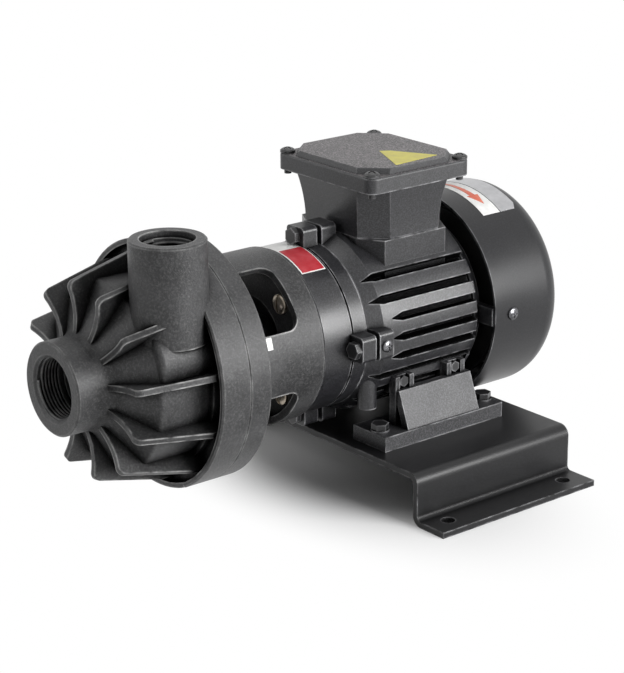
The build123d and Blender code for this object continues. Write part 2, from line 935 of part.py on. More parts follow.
def front_bearing():
    """Bearing in the drive end shield."""
    return bearing(flange_y + shield_wall)


def rear_bearing():
    """Bearing in the rear end shield."""
    return bearing(frame_rear_y - rear_spigot)


def slot_section(y, width, floor_width, floor):
    """Section of a cooling slot at the top of the frame, open above the fins."""
    top = fin_radius + edge_break
    return across(y) * make_face(Polyline(
        (-floor_width / 2, floor),
        (floor_width / 2, floor),
        (width / 2, top),
        (-width / 2, top),
        close=True,
    ))


def slot(setback):
    """Cooling slot between two fins, running out in a pointed nose at the front."""
    tip_y = shield_rear_y + setback
    full_y = tip_y + slot_nose
    tip_floor = min(fin_radius, drum_outer + (fin_radius - drum_outer) * setback / fin_ramp)
    tip = slot_section(tip_y, slot_tip_width, slot_tip_width / 2, tip_floor)
    full = slot_section(full_y, slot_width, slot_floor_width, slot_floor_radius)
    return loft([tip, full], ruled=True) + extrude(full, full_y - frame_rear_y - edge_break)


def slots():
    """Slots down both sides of the frame and one under it, starting behind the lugs where they meet one."""
    long_slot = slot(slot_setback)
    short_slot = slot(lug_slot_setback)
    lug_angle = math.degrees(math.atan2(frame_lug_width / 2 + slot_width / 2, fin_radius))
    cuts = []
    for i in range(side_slots):
        angle = slot_first_angle - i * slot_pitch + (top_slot_lift if i == 0 else 0.0)
        cut = short_slot if abs(angle) < lug_angle + slot_pitch / 4 else long_slot
        cuts.append(turn(cut, angle - 90.0))
        cuts.append(turn(cut, 90.0 - angle))
    cuts.append(turn(short_slot, 180.0))
    return cuts


def frame_foot_bosses():
    """Bosses on the frame that the feet are screwed to."""
    low = axis_z - centre_height + foot_screw_height - foot_tab_width / 2
    high = low + foot_tab_width
    bosses = []
    for side in (-1, 1):
        for y in (foot_tab_middle_y - tab_half_pitch, foot_tab_middle_y + tab_half_pitch):
            x_range = sorted((side * (foot_tab_x - foot_boss_depth), side * foot_tab_x))
            bosses.append(block(x_range, (y - foot_tab_width / 2, y + foot_tab_width / 2), (low, high)))
    return bosses


def foot_screw_holes(radius, low, high):
    """Bars along X at the four foot screws, between two distances from the middle."""
    bars = []
    z = plate_top + foot_screw_height
    for side in (-1, 1):
        for y in (foot_tab_middle_y - tab_half_pitch, foot_tab_middle_y + tab_half_pitch):
            ends = sorted((side * low, side * high))
            bars.append(cross_bar(radius, y, z, ends[0], ends[1]))
    return bars


def pedestal():
    """Pedestal that the terminal box stands on, with its corners cut."""
    half_y = box_half_y - box_foot_inset
    outline = Polyline(
        (pedestal_half_x, half_y - pedestal_cut_y),
        (pedestal_half_x - pedestal_cut_x, half_y),
        (pedestal_cut_x - pedestal_half_x, half_y),
        (-pedestal_half_x, half_y - pedestal_cut_y),
        (-pedestal_half_x, pedestal_cut_y - half_y),
        (pedestal_cut_x - pedestal_half_x, -half_y),
        (pedestal_half_x - pedestal_cut_x, -half_y),
        (pedestal_half_x, pedestal_cut_y - half_y),
        close=True,
    )
    return Pos(0, box_y, axis_z) * extrude(make_face(outline), pedestal_top)


def motor_frame():
    """Slotted frame with the terminal box pedestal, bolt lugs and foot bosses."""
    inside = drum_outer - frame_wall
    shape = turned(
        (shield_rear_y, 0),
        (shield_rear_y, drum_outer),
        (shield_rear_y + fin_ramp, fin_radius),
        (frame_rear_y - fin_end_bevel, fin_radius),
        (frame_rear_y, fin_radius - fin_end_bevel),
        (frame_rear_y, 0),
    )
    shape = shape - slots()
    seat_x = (-pedestal_half_x, pedestal_half_x)
    shape = shape - block(seat_x, (shield_rear_y, frame_rear_y), (pedestal_z, axis_z + lug_radius))
    clear_top = plate_top + foot_tab_top + edge_break
    clear_half = foot_leg_half_length + foot_clearance
    clear_y = (foot_middle_y - clear_half, foot_middle_y + clear_half)
    for side in (-1, 1):
        x_range = sorted((side * foot_tab_x, side * lug_radius))
        shape = shape - block(x_range, clear_y, (plate_top, clear_top))
    shape = shape + frame_foot_bosses()
    for x in (-spare_boss_x, spare_boss_x):
        boss_y = shield_rear_y + spare_boss_setback
        shape = shape + post(spare_boss_radius, x, boss_y, axis_z - spare_boss_drop, axis_z - foot_boss_depth)
    shape = shape + pedestal()
    frame_lug = lug(shield_rear_y, shield_rear_y + frame_lug_length, frame_lug_width)
    shape = shape + around(frame_lug, lug_count)
    shape = shape - ring(shield_rear_y, frame_rear_y, inside)
    bolt = rod(tie_bolt_radius + slip, shield_rear_y, shield_rear_y + frame_lug_length, tie_bolt_circle / 2)
    shape = shape - around(bolt, lug_count)
    hole_end = foot_tab_x - foot_screw_bite - edge_break
    shape = shape - foot_screw_holes(foot_screw_radius + slip, hole_end, foot_tab_x)
    return shape - post(cable_hole_radius, 0, box_y, axis_z, pedestal_z)


def tie_bolts():
    """Hexagon bolts through the shield lugs into the frame lugs."""
    x = tie_bolt_circle / 2
    seat_y = shield_rear_y - lug_gap - shield_lug_length
    bolt = rod(tie_bolt_radius, seat_y, shield_rear_y + frame_lug_length - edge_break, x)
    bolt = bolt + hexagon(tie_bolt_head, seat_y - tie_bolt_head_height, seat_y, x)
    return Compound(around(bolt, lug_count))


def earth_screw():
    """Earth screw on the near frame lug."""
    y = shield_rear_y + frame_lug_length / 2
    top = lug_radius + earth_screw_height
    shape = cross_bar(earth_screw_radius, y, axis_z, lug_radius, top)
    reach = 2 * earth_screw_radius
    slot_y = (y - earth_slot / 2, y + earth_slot / 2)
    return shape - block((top - earth_slot_depth, top), slot_y, (axis_z - reach, axis_z + reach))


def stator_core():
    """Laminated stator pressed into the frame."""
    inside = drum_outer - frame_wall
    return ring(stack_front_y, stack_front_y + stack_length, inside, rotor_radius + air_gap)


def stator_windings():
    """End turns on both faces of the stator."""
    rear = stack_front_y + stack_length
    ends = []
    for start, stop in ((stack_front_y - winding_length, stack_front_y), (rear, rear + winding_length)):
        ends.append(ring(start, stop, winding_outer, winding_inner))
    return Compound(ends)


def rotor_core():
    """Squirrel cage rotor on the motor shaft."""
    front = stack_front_y - rotor_overhang
    rear = stack_front_y + stack_length + rotor_overhang
    return ring(front, rear, rotor_radius, rotor_shaft_radius + slip)


def motor_shaft():
    """Stepped motor shaft with its keyway and the fan seat."""
    front = flange_y - shaft_extension
    front_shoulder = flange_y + shield_wall + bearing_width
    rear_seat = frame_rear_y - rear_spigot
    fan_y = rear_seat + bearing_width
    fan_end = fan_front_y + fan_plate + fan_blade_height - fan_hub_setback
    shape = turned(
        (front, 0),
        (front, shaft_radius - edge_break),
        (front + edge_break, shaft_radius),
        (flange_y, shaft_radius),
        (flange_y, bearing_inner),
        (front_shoulder, bearing_inner),
        (front_shoulder, rotor_shaft_radius),
        (rear_seat, rotor_shaft_radius),
        (rear_seat, bearing_inner),
        (fan_y, bearing_inner),
        (fan_y, fan_seat_radius),
        (fan_end, fan_seat_radius),
        (fan_end, 0),
    )
    floor = shaft_radius - key_depth
    slot = slab(Pos(0, floor + key_width / 2) * Rectangle(key_width + 2 * slip, key_width), key_y, key_y + key_length)
    return shape - slot


def motor_key():
    """Parallel key between the motor shaft and the magnet hub."""
    low = axis_z + shaft_radius - key_depth
    return block((-key_width / 2, key_width / 2), (key_y + slip, key_y + key_length - slip), (low, low + key_width))


def rear_end_shield():
    """Rear end shield with its bearing seat and the arms that carry the cowl."""
    seat_y = frame_rear_y - rear_spigot
    seat_end_y = seat_y + bearing_width
    rear = frame_rear_y + rear_shield_length
    inside = drum_outer - frame_wall
    shape = turned(
        (seat_y, bearing_outer + slip),
        (seat_y, bearing_outer + bearing_wall),
        (frame_rear_y, bearing_outer + bearing_wall),
        (frame_rear_y, drum_outer - slip),
        (frame_rear_y + rear_shield_rim, drum_outer - slip),
        (rear, bearing_outer + bearing_wall),
        (rear + rear_boss_length, bearing_outer + bearing_wall),
        (rear + rear_boss_length, bearing_inner + shaft_hole_clearance),
        (seat_end_y, bearing_inner + shaft_hole_clearance),
        (seat_end_y, bearing_outer + slip),
    )
    shape = shape + ring(seat_y, frame_rear_y + edge_break, inside - slip, inside - rear_spigot_wall)
    middle = cowl_arm_radius + cowl_arm_height / 2
    arm_front_y = frame_rear_y + cowl_arm_setback
    arm_plan = Pos(middle, 0) * Rectangle(cowl_arm_height, cowl_arm_width)
    arm = slab(arm_plan, arm_front_y, cowl_screw_y + cowl_arm_tail)
    web_end = middle
    web_plan = Pos((cowl_web_radius + web_end) / 2, 0) * Rectangle(web_end - cowl_web_radius, cowl_arm_width)
    web = slab(web_plan, arm_front_y, arm_front_y + cowl_web_thickness)
    hole = cross_bar(cowl_screw_radius + slip, cowl_screw_y, axis_z, cowl_arm_radius, cowl_radius)
    return shape + around(arm, cowl_screw_count) + around(web, cowl_screw_count) - around(hole, cowl_screw_count)


# Fan and cowl


def cooling_fan():
    """Radial blade fan on the rear of the motor shaft."""
    plate_rear = fan_front_y + fan_plate
    rear = plate_rear + fan_blade_height
    shape = ring(fan_front_y, plate_rear, fan_radius) + ring(fan_front_y, rear - fan_hub_setback, fan_hub_radius)
    width = fan_radius - fan_seat_radius - edge_break
    blade_plan = Pos(fan_radius - edge_break - width / 2, 0) * Rectangle(width, fan_blade_thickness)
    blade = slab(blade_plan, fan_front_y, rear)
    blade = blade - ring(rear - fan_hub_setback, rear, fan_hub_radius)
    shape = shape + around(blade, fan_blade_count)
    return shape - ring(fan_front_y, rear, fan_seat_radius + slip)


def grille_slot(radius, span):
    """One curved slot of the cowl's rear grille."""
    steps = (-span / 2, 0.0, span / 2)
    path = ThreePointArc(*[
        (radius * math.cos(math.radians(a)), radius * math.sin(math.radians(a))) for a in steps
    ])
    outer = Circle(radius + grille_slot_width / 2) - Circle(radius - grille_slot_width / 2)
    half = math.radians(span / 2)
    reach = 2 * radius
    wedge = make_face(Polyline((0, 0), (reach, -reach * math.tan(half)), (reach, reach * math.tan(half)), close=True))
    ends = [Pos(path @ t) * Circle(grille_slot_width / 2) for t in (0, 1)]
    return (outer & wedge) + ends


def fan_cowl():
    """Pressed cowl with a rounded rear edge and a slotted grille."""
    bend = cowl_rounding
    outer_round = ThreePointArc(
        (cowl_rear_y - bend, cowl_radius),
        (cowl_rear_y - bend + bend * math.sin(math.pi / 4), cowl_radius - bend + bend * math.cos(math.pi / 4)),
        (cowl_rear_y, cowl_radius - bend),
    )
    small = bend - cowl_sheet
    inner_round = ThreePointArc(
        (cowl_rear_y - cowl_sheet, cowl_radius - bend),
        (cowl_rear_y - bend + small * math.sin(math.pi / 4), cowl_radius - bend + small * math.cos(math.pi / 4)),
        (cowl_rear_y - bend, cowl_radius - cowl_sheet),
    )
    lines = [
        Line((cowl_front_y, cowl_radius), (cowl_rear_y - bend, cowl_radius)),
        outer_round,
        Polyline(
            (cowl_rear_y, cowl_radius - bend),
            (cowl_rear_y, 0),
            (cowl_rear_y - cowl_sheet, 0),
            (cowl_rear_y - cowl_sheet, cowl_radius - bend),
        ),
        inner_round,
        Polyline(
            (cowl_rear_y - bend, cowl_radius - cowl_sheet),
            (cowl_front_y, cowl_radius - cowl_sheet),
            (cowl_front_y, cowl_radius),
        ),
    ]
    shape = revolve(shaft_side * make_face(lines), shaft_axis)
    for i in range(grille_rings):
        radius = grille_first_radius + i * grille_ring_pitch
        count = grille_first_count + grille_step_count * i
        web = grille_web + grille_slot_width
        span = 360.0 / count - math.degrees(web / radius)
        opening = slab(grille_slot(radius, span), cowl_rear_y - cowl_sheet, cowl_rear_y)
        shape = shape - around(opening, count, 180.0 / count * (i % 2))
    hole = cross_bar(cowl_screw_radius + thread_clearance, cowl_screw_y, axis_z, cowl_arm_radius, cowl_radius)
    return shape - around(hole, cowl_screw_count)


def cowl_screws():
    """Screws that hold the cowl to the arms of the rear end shield."""
    top = cowl_radius + cowl_screw_head_height
    screw = cross_bar(cowl_screw_radius, cowl_screw_y, axis_z, cowl_arm_radius, top)
    screw = screw + cross_bar(cowl_screw_head, cowl_screw_y, axis_z, cowl_radius, top)
    reach = 2 * cowl_screw_head
    slot_y = (cowl_screw_y - cowl_slot / 2, cowl_screw_y + cowl_slot / 2)
    screw = screw - block((top - cowl_slot_depth, top), slot_y, (axis_z - reach, axis_z + reach))
    return Compound(around(screw, cowl_screw_count))


# Feet


def foot(side):
    """Foot with a bolted pad, a leaning leg plate and two screwed tabs."""
    pad_top = plate_top + foot_pad
    y_range = (foot_middle_y - foot_half_length, foot_middle_y + foot_half_length)
    shape = block((foot_inner_x, foot_outer_x), y_range, (plate_top, pad_top))
    leg_top = plate_top + foot_leg_top
    leg = Plane.XZ.offset(-foot_middle_y - foot_leg_half_length) * make_face(Polyline(
        (foot_leg_outer_x, pad_top),
        (foot_leg_top_x, leg_top),
        (foot_leg_top_x - foot_leg_wall, leg_top),
        (foot_leg_outer_x - foot_leg_wall - foot_leg_root, pad_top),
        close=True,
    ))
    shape = shape + extrude(leg, 2 * foot_leg_half_length)
    for y in (foot_tab_middle_y - tab_half_pitch, foot_tab_middle_y + tab_half_pitch):
        width = (y - foot_tab_width / 2, y + foot_tab_width / 2)
        tab_x = foot_tab_x + gap
        shape = shape + block((tab_x, tab_x + foot_tab_thickness), width, (plate_top, plate_top + foot_tab_top))
        recess = (y - foot_tab_slot / 2, y + foot_tab_slot / 2)
        recess_x = (tab_x + foot_tab_web, tab_x + foot_tab_thickness)
        shape = shape - block(recess_x, recess, (leg_top, plate_top + foot_tab_top))
    shape = shape - foot_screw_holes(foot_screw_radius + thread_clearance, foot_tab_x, foot_outer_x)
    for y in (front_foot_y, rear_foot_y):
        shape = shape - post(foot_hole_radius, foot_hole_x, y, plate_top, pad_top)
    return shape if side > 0 else mirror(shape, Plane.YZ)


def foot_screws():
    """Screws through the foot tabs into the frame bosses."""
    head_low = foot_tab_x + gap + foot_tab_web
    screws = []
    for y in (foot_tab_middle_y - tab_half_pitch, foot_tab_middle_y + tab_half_pitch):
        z = plate_top + foot_screw_height
        shank = cross_bar(foot_screw_radius, y, z, foot_tab_x - foot_screw_bite, head_low)
        plane = Plane(origin=(head_low, y, z), z_dir=(1, 0, 0))
        screw = shank + extrude(plane * RegularPolygon(foot_screw_head, 6), foot_screw_head_height)
        screws += [screw, mirror(screw, Plane.YZ)]
    return Compound(screws)


def foot_bolts():
    """Bolts with washers that hold the feet to the base."""
    bolts = []
    seat = plate_top + foot_pad
    for x in (-foot_hole_x, foot_hole_x):
        for y in (front_foot_y, rear_foot_y):
            washer = post(foot_bolt_washer, x, y, seat, seat + washer_thickness)
            head = hex_post(foot_bolt_head, x, y, seat + washer_thickness,
                            seat + washer_thickness + foot_bolt_head_height)
            tail = plate_top - plate_thickness - nut_height - bolt_tail
            bolts.append(washer + head + post(foot_bolt_radius, x, y, tail, seat + washer_thickness))
    return Compound(bolts)


def foot_nuts():
    """Nuts under the base plate."""
    high = plate_top - plate_thickness
    nuts = []
    for x in (-foot_hole_x, foot_hole_x):
        for y in (front_foot_y, rear_foot_y):
            nut = hex_post(foot_bolt_head, x, y, high - nut_height, high)
            nuts.append(nut - post(foot_bolt_radius + slip, x, y, high - nut_height, high))
    return Compound(nuts)


def base_plate():
    """Sheet folded to a hat section, with four floor holes and four foot bolt holes."""
    inside = web_half_width - plate_thickness
    under = plate_top - plate_thickness
    outline = Polyline(
        (flange_half_width, 0),
        (flange_half_width, plate_thickness),
        (web_half_width, plate_thickness),
        (web_half_width, plate_top),
        (-web_half_width, plate_top),
        (-web_half_width, plate_thickness),
        (-flange_half_width, plate_thickness),
        (-flange_half_width, 0),
        (-inside, 0),
        (-inside, under),
        (inside, under),
        (inside, 0),
        close=True,
    )
    section = make_face(outline)
    large = fold_radius + plate_thickness
    for x, z, radius in (
        (web_half_width, plate_top, large),
        (web_half_width, plate_thickness, fold_radius),
        (inside, under, fold_radius),
        (inside, 0, large),
    ):
        for side in (-1, 1):
            corner = section.vertices().sort_by_distance((side * x, z, 0))[0]
            section = fillet(corner, radius)
    shape = extrude(Plane.XZ.offset(-plate_length / 2) * section, plate_length)
    for x in (-base_hole_x, base_hole_x):
        for y in (-base_hole_y, base_hole_y):
            shape = shape - post(base_hole_radius, x, y, 0, plate_thickness)
    for x in (-foot_hole_x, foot_hole_x):
        for y in (front_foot_y, rear_foot_y):
            shape = shape - post(foot_hole_radius, x, y, under, plate_top)
    return shape


# Terminal box


def cut_rectangle(half_x, half_y, cut):
    """Rectangle with its four corners cut off."""
    return chamfer(Rectangle(2 * half_x, 2 * half_y).vertices(), cut)


def box_section(inset, z, wall=0.0):
    """Outline of the terminal box at one height."""
    outline = cut_rectangle(box_half_x - inset - wall, box_half_y - inset - wall, box_corner_cut - wall / 2)
    return Pos(0, box_y, z) * outline


def box_body():
    """Terminal box body, drawn in towards its foot in a hollow curve."""
    sections = []
    for share in (0.0, 0.4, 0.75, 1.0):
        inset = box_foot_inset * (1 - share ** 2)
        sections.append(box_section(inset, pedestal_z + share * box_height))
    return loft(sections)


def terminal_box():
    """Terminal box with cut corners, a cable hole and a flange inside the lid."""
    floor = pedestal_z + box_wall
    flange_top = lid_top_z - lid_plate - gasket_thickness
    flange_low = flange_top - box_flange
    flange = Pos(0, box_y, flange_low) * extrude(
        RectangleRounded(2 * (lid_half_x - lid_wall - gap), 2 * (lid_half_y - lid_wall - gap), lid_corner - lid_wall),
        box_flange,
    )
    neck = extrude(box_section(0, box_top_z), flange_low - box_top_z)
    shape = box_body() + neck + flange
    mouth = extrude(box_section(box_foot_inset, floor, box_wall), flange_top - floor)
    shape = shape - mouth
    gland_z = pedestal_z + gland_height
    boss_x = -(box_half_x - box_foot_inset) - gland_boss
    inside_x = box_wall + box_foot_inset - box_half_x
    shape = shape + cross_bar(gland_hex, box_y, gland_z, boss_x, inside_x)
    shape = shape - cross_bar(gland_thread + thread_clearance, box_y, gland_z, boss_x, inside_x)
    shape = shape - post(box_cable_hole, 0, box_y, pedestal_z, floor)
    return shape - lid_screw_bars(lid_screw_radius + slip, flange_low, flange_top)


def lid_screw_bars(radius, low, high):
    """Upright bars at the four lid screws."""
    bars = []
    for x in (-1, 1):
        for y in (-1, 1):
            place_x = x * (lid_half_x - lid_screw_inset_x)
            place_y = box_y + y * (lid_half_y - lid_screw_inset_y)
            bars.append(post(radius, place_x, place_y, low, high))
    return bars


def box_gasket():
    """Rubber gasket between the box flange and the lid."""
    high = lid_top_z - lid_plate
    size_x = 2 * (lid_half_x - lid_wall - gap)
    size_y = 2 * (lid_half_y - lid_wall - gap)
    shape = Pos(0, box_y, high - gasket_thickness) * extrude(
        RectangleRounded(size_x, size_y, lid_corner - lid_wall), gasket_thickness)
    hole = extrude(box_section(box_foot_inset, high - gasket_thickness, box_wall), gasket_thickness)
    return shape - hole - lid_screw_bars(lid_screw_radius + thread_clearance, high - gasket_thickness, high)


def terminal_box_lid():
    """Skirted lid with a raised panel between the screw corners."""
    low = lid_top_z - lid_depth
    rim = RectangleRounded(2 * lid_half_x, 2 * lid_half_y, lid_corner)
    shape = Pos(0, box_y, low) * extrude(rim, lid_depth)
    shape = fillet(shape.edges().group_by(Axis.Z)[-1], lid_edge_round)
    hollow = RectangleRounded(2 * (lid_half_x - lid_wall), 2 * (lid_half_y - lid_wall), lid_corner - lid_wall)
    shape = shape - Pos(0, box_y, low) * extrude(hollow, lid_depth - lid_plate)
    half_x = lid_half_x - lid_panel_margin
    half_y = lid_half_y - lid_panel_margin
    foot_outline = Pos(0, box_y, lid_top_z) * cut_rectangle(half_x, half_y, lid_panel_cut)
    top_outline = Pos(0, box_y, lid_top_z + lid_panel_height) * cut_rectangle(
        half_x - lid_panel_bevel, half_y - lid_panel_bevel, lid_panel_cut)
    shape = shape + loft([foot_outline, top_outline], ruled=True)
    return shape - lid_screw_bars(lid_screw_radius + thread_clearance, lid_top_z - lid_plate, lid_top_z)


def lid_screws():
    """Screws at the four lid corners, with their tails showing under the rim."""
    low = lid_top_z - lid_depth - lid_screw_tail
    shanks = lid_screw_bars(lid_screw_radius, low, lid_top_z)
    heads = lid_screw_bars(lid_screw_head, lid_top_z, lid_top_z + lid_screw_head_height)
    top = lid_top_z + lid_screw_head_height
    sockets = lid_screw_bars(lid_socket, top - lid_socket_depth, top)
    return Compound([shank + head - socket for shank, head, socket in zip(shanks, heads, sockets)])


def cable_gland():
    """Cable gland in the hidden side wall of the terminal box."""
    z = pedestal_z + gland_height
    wall_x = -(box_half_x - box_foot_inset) - gland_boss
    plane = Plane(origin=(wall_x, box_y, z), z_dir=(-1, 0, 0))
    shape = extrude(plane * RegularPolygon(gland_hex, 6), gland_hex_length)
    cap_x = wall_x - gland_hex_length
    shape = shape + cross_bar(gland_cap_radius, box_y, z, cap_x - gland_cap_length, cap_x)
    inner_x = wall_x + gland_thread_length
    shape = shape + cross_bar(gland_thread, box_y, z, wall_x, inner_x)
    return shape - cross_bar(cable_radius, box_y, z, cap_x - gland_cap_length, inner_x)


def terminal_block():
    """Terminal block on the floor of the box."""
    floor = pedestal_z + box_wall
    top = floor + block_height
    half = block_length / 2
    y_range = (box_y + block_setback, box_y + block_setback + block_width)
    shape = block((-half, half), y_range, (floor, top))
    for side in (-0.5, 0.5):
        middle = side * stud_pitch
        groove = (middle - block_groove / 2, middle + block_groove / 2)
        shape = shape - block(groove, y_range, (top - block_groove_depth, top))
    return shape


def terminal_studs():
    """Brass studs on the terminal block."""
    top = pedestal_z + box_wall + block_height
    y = box_y + block_setback + stud_row
    studs = []
    for i in (-1, 0, 1):
        x = i * stud_pitch
        stud = post(stud_radius, x, y, top, top + stud_height)
        studs.append(stud + hex_post(stud_nut, x, y, top, top + stud_nut_height))
    return Compound(studs)


nodes = {
    "front_casing": front_casing,
    "casing_seal": casing_seal,
    "isolation_shell": isolation_shell,
    "shaft_support": shaft_support,
    "pump_shaft": pump_shaft,
    "front_thrust_ring": front_thrust_ring,
    "rear_thrust_ring": rear_thrust_ring,
    "impeller": impeller,
    "driven_magnet": driven_magnet,
    "impeller_bush": impeller_bush,
    "magnet_hub": magnet_hub,
    "hub_grub_screw": hub_grub_screw,
    "drive_magnets": drive_magnets,
    "lantern": lantern,
    "casing_screws": casing_screws,
    "lantern_screws": lantern_screws,
    "white_tab": white_tab,
    "drive_end_shield": drive_end_shield,
    "front_bearing": front_bearing,
    "rear_bearing": rear_bearing,
    "motor_frame": motor_frame,
    "tie_bolts": tie_bolts,
    "earth_screw": earth_screw,
    "stator_core": stator_core,
    "stator_windings": stator_windings,
    "rotor_core": rotor_core,
    "motor_shaft": motor_shaft,
    "motor_key": motor_key,
    "rear_end_shield": rear_end_shield,
    "cooling_fan": cooling_fan,
    "fan_cowl": fan_cowl,
    "cowl_screws": cowl_screws,
    "foot_near": lambda: foot(1),
    "foot_far": lambda: foot(-1),
    "foot_screws": foot_screws,
    "foot_bolts": foot_bolts,
    "foot_nuts": foot_nuts,
    "base_plate": base_plate,
    "terminal_box": terminal_box,
    "box_gasket": box_gasket,
    "terminal_box_lid": terminal_box_lid,
    "lid_screws": lid_screws,
    "cable_gland": cable_gland,
    "terminal_block": terminal_block,
    "terminal_studs": terminal_studs,
}


def main():
    os.makedirs("parts", exist_ok=True)
    for name, make in nodes.items():
        shape = make()
        export_step(shape, f"parts/{name}.step")
        print(name, len(shape.solids()), round(shape.volume), flush=True)


main()
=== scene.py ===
"""Looks of a close-coupled plastic chemical pump, laid out as an add-on and run as a script."""
import json
import math

import bmesh
import bpy
from mathutils import Matrix, Vector


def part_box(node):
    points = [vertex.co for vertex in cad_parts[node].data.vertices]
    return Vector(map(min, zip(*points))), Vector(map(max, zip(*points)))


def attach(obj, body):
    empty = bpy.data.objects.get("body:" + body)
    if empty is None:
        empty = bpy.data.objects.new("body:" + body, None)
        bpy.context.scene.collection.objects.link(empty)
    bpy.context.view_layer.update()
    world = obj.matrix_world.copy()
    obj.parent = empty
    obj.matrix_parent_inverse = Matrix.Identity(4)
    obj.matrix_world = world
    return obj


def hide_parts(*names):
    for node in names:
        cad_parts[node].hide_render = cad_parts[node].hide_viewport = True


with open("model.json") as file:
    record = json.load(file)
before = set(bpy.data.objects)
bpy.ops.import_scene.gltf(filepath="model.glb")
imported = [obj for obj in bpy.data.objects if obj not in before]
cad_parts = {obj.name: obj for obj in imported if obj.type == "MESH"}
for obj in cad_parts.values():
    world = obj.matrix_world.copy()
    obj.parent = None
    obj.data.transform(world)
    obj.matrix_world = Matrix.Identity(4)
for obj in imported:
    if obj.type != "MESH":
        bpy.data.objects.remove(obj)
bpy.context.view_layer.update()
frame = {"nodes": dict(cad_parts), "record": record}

bl_info = {
    "name": "Chemical pump looks",
    "version": (1, 0, 0),
    "blender": (4, 5, 0),
    "location": "3D View > Sidebar > Pump",
    "description": "Finishes, threads, screws, labels and studio for the chemical pump",
    "category": "Object",
}

MM = 0.001
mount = {m["name"]: m for m in frame["record"]["mounts"]}
AXIS_Z = mount["inlet"]["pos_m"][2]


# Small helpers

def linear(code):
    """Linear colour of an sRGB hex code, by the sRGB curve."""
    channels = [int(code[i:i + 2], 16) / 255 for i in (1, 3, 5)]
    return [c / 12.92 if c <= 0.04045 else ((c + 0.055) / 1.055) ** 2.4 for c in channels] + [1.0]


def add(tree, kind, settings=None, links=None):
    """Add a node, set its properties or input sockets, and link other sockets into it."""
    made = tree.nodes.new(kind)
    for name, value in (settings or {}).items():
        if isinstance(name, str) and hasattr(made, name):
            setattr(made, name, value)
        else:
            made.inputs[name].default_value = value
    for name, source in (links or {}).items():
        tree.links.new(source, made.inputs[name])
    return made


def material(name):
    """New node material and its tree, with Object coordinates and the main shader ready."""
    made = bpy.data.materials.new(name)
    made.use_nodes = True
    tree = made.node_tree
    shader = tree.nodes["Principled BSDF"]
    coordinates = add(tree, "ShaderNodeTexCoord").outputs["Object"]
    return made, tree, shader, coordinates


def finish_nodes(names, made):
    """Give CAD nodes one material."""
    for name in names:
        slots = frame["nodes"][name].data.materials
        slots.clear()
        slots.append(made)


def new_piece(name, shape, made, body):
    """Turn a bmesh into a finished piece that rides on a body."""
    bmesh.ops.recalc_face_normals(shape, faces=shape.faces)
    mesh = bpy.data.meshes.new(name)
    shape.to_mesh(mesh)
    shape.free()
    mesh.materials.append(made)
    piece = bpy.data.objects.new(name, mesh)
    bpy.context.scene.collection.objects.link(piece)
    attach(piece, body)
    return piece


def on_drum(radius, along, angle):
    """Point at a radius from the shaft, a place along it and an angle from +X towards the top."""
    turn = math.radians(angle)
    return Vector((radius * math.cos(turn), along, AXIS_Z + radius * math.sin(turn)))


def drum_patch(radius, height, outline, step=3.0):
    """Thin closed sheet on a drum. The outline is (place along, angle) corners; step is how many degrees
    an edge may cross before it takes another corner, so that long edges follow the curve."""
    shape = bmesh.new()
    points = []
    for (y0, a0), (y1, a1) in zip(outline, outline[1:] + outline[:1]):
        count = max(1, math.ceil(abs(a1 - a0) / step))
        points += [(y0 + (y1 - y0) * i / count, a0 + (a1 - a0) * i / count) for i in range(count)]
    low = min(angle for _, angle in points)
    high = max(angle for _, angle in points)
    # The sheet is drawn flat, cut across at every step, and then rolled up
    shape.faces.new([shape.verts.new((y, math.radians(angle) * radius, 0)) for y, angle in points])
    for i in range(1, math.ceil((high - low) / step)):
        cut = math.radians(low + i * step) * radius
        bmesh.ops.bisect_plane(shape, geom=shape.verts[:] + shape.edges[:] + shape.faces[:],
                               plane_co=(0, cut, 0), plane_no=(0, 1, 0))
    made = bmesh.ops.extrude_face_region(shape, geom=shape.faces[:])
    raised = {v for v in made["geom"] if isinstance(v, bmesh.types.BMVert)}
    for vert in shape.verts:
        reach = radius + (height if vert in raised else 0.0)
        vert.co = on_drum(reach, vert.co.x, math.degrees(vert.co.y / radius))
    return shape


def outlined(front, corners):
    """Outline of a sticker from corners in millimetres behind the drum's front and in degrees."""
    return [(front + reach * MM, angle) for reach, angle in corners]


def band(front, near, far, low, high):
    """Outline of a straight sticker from near to far and from low to high, in the same units."""
    return outlined(front, ((near, low), (far, low), (far, high), (near, high)))


# Materials

def worn_and_highlit_edges(tree, place, reach, patch):
    """Share of pale edge, partly from rubbing and partly a painted highlight: how open the inside of the
    solid is there, broken up by patches of wear.
    """
    # Pale edges: partly wear, partly a painted highlight on convex edges, where light would catch them
    inside = add(tree, "ShaderNodeAmbientOcclusion",
                 {"inside": True, "only_local": True, "samples": 6, "Distance": reach})
    edge = add(tree, "ShaderNodeMapRange", {"From Min": 0.95, "From Max": 0.6},
               {"Value": inside.outputs["AO"]})
    rub = add(tree, "ShaderNodeTexNoise", {"Scale": 1 / patch, "Detail": 3.0}, {"Vector": place})
    share = add(tree, "ShaderNodeMapRange", {"From Min": 0.35, "From Max": 0.65},
                {"Value": rub.outputs["Fac"]})
    return add(tree, "ShaderNodeMath", {"operation": "MULTIPLY"},
               {0: edge.outputs["Result"], 1: share.outputs["Result"]}).outputs[0]


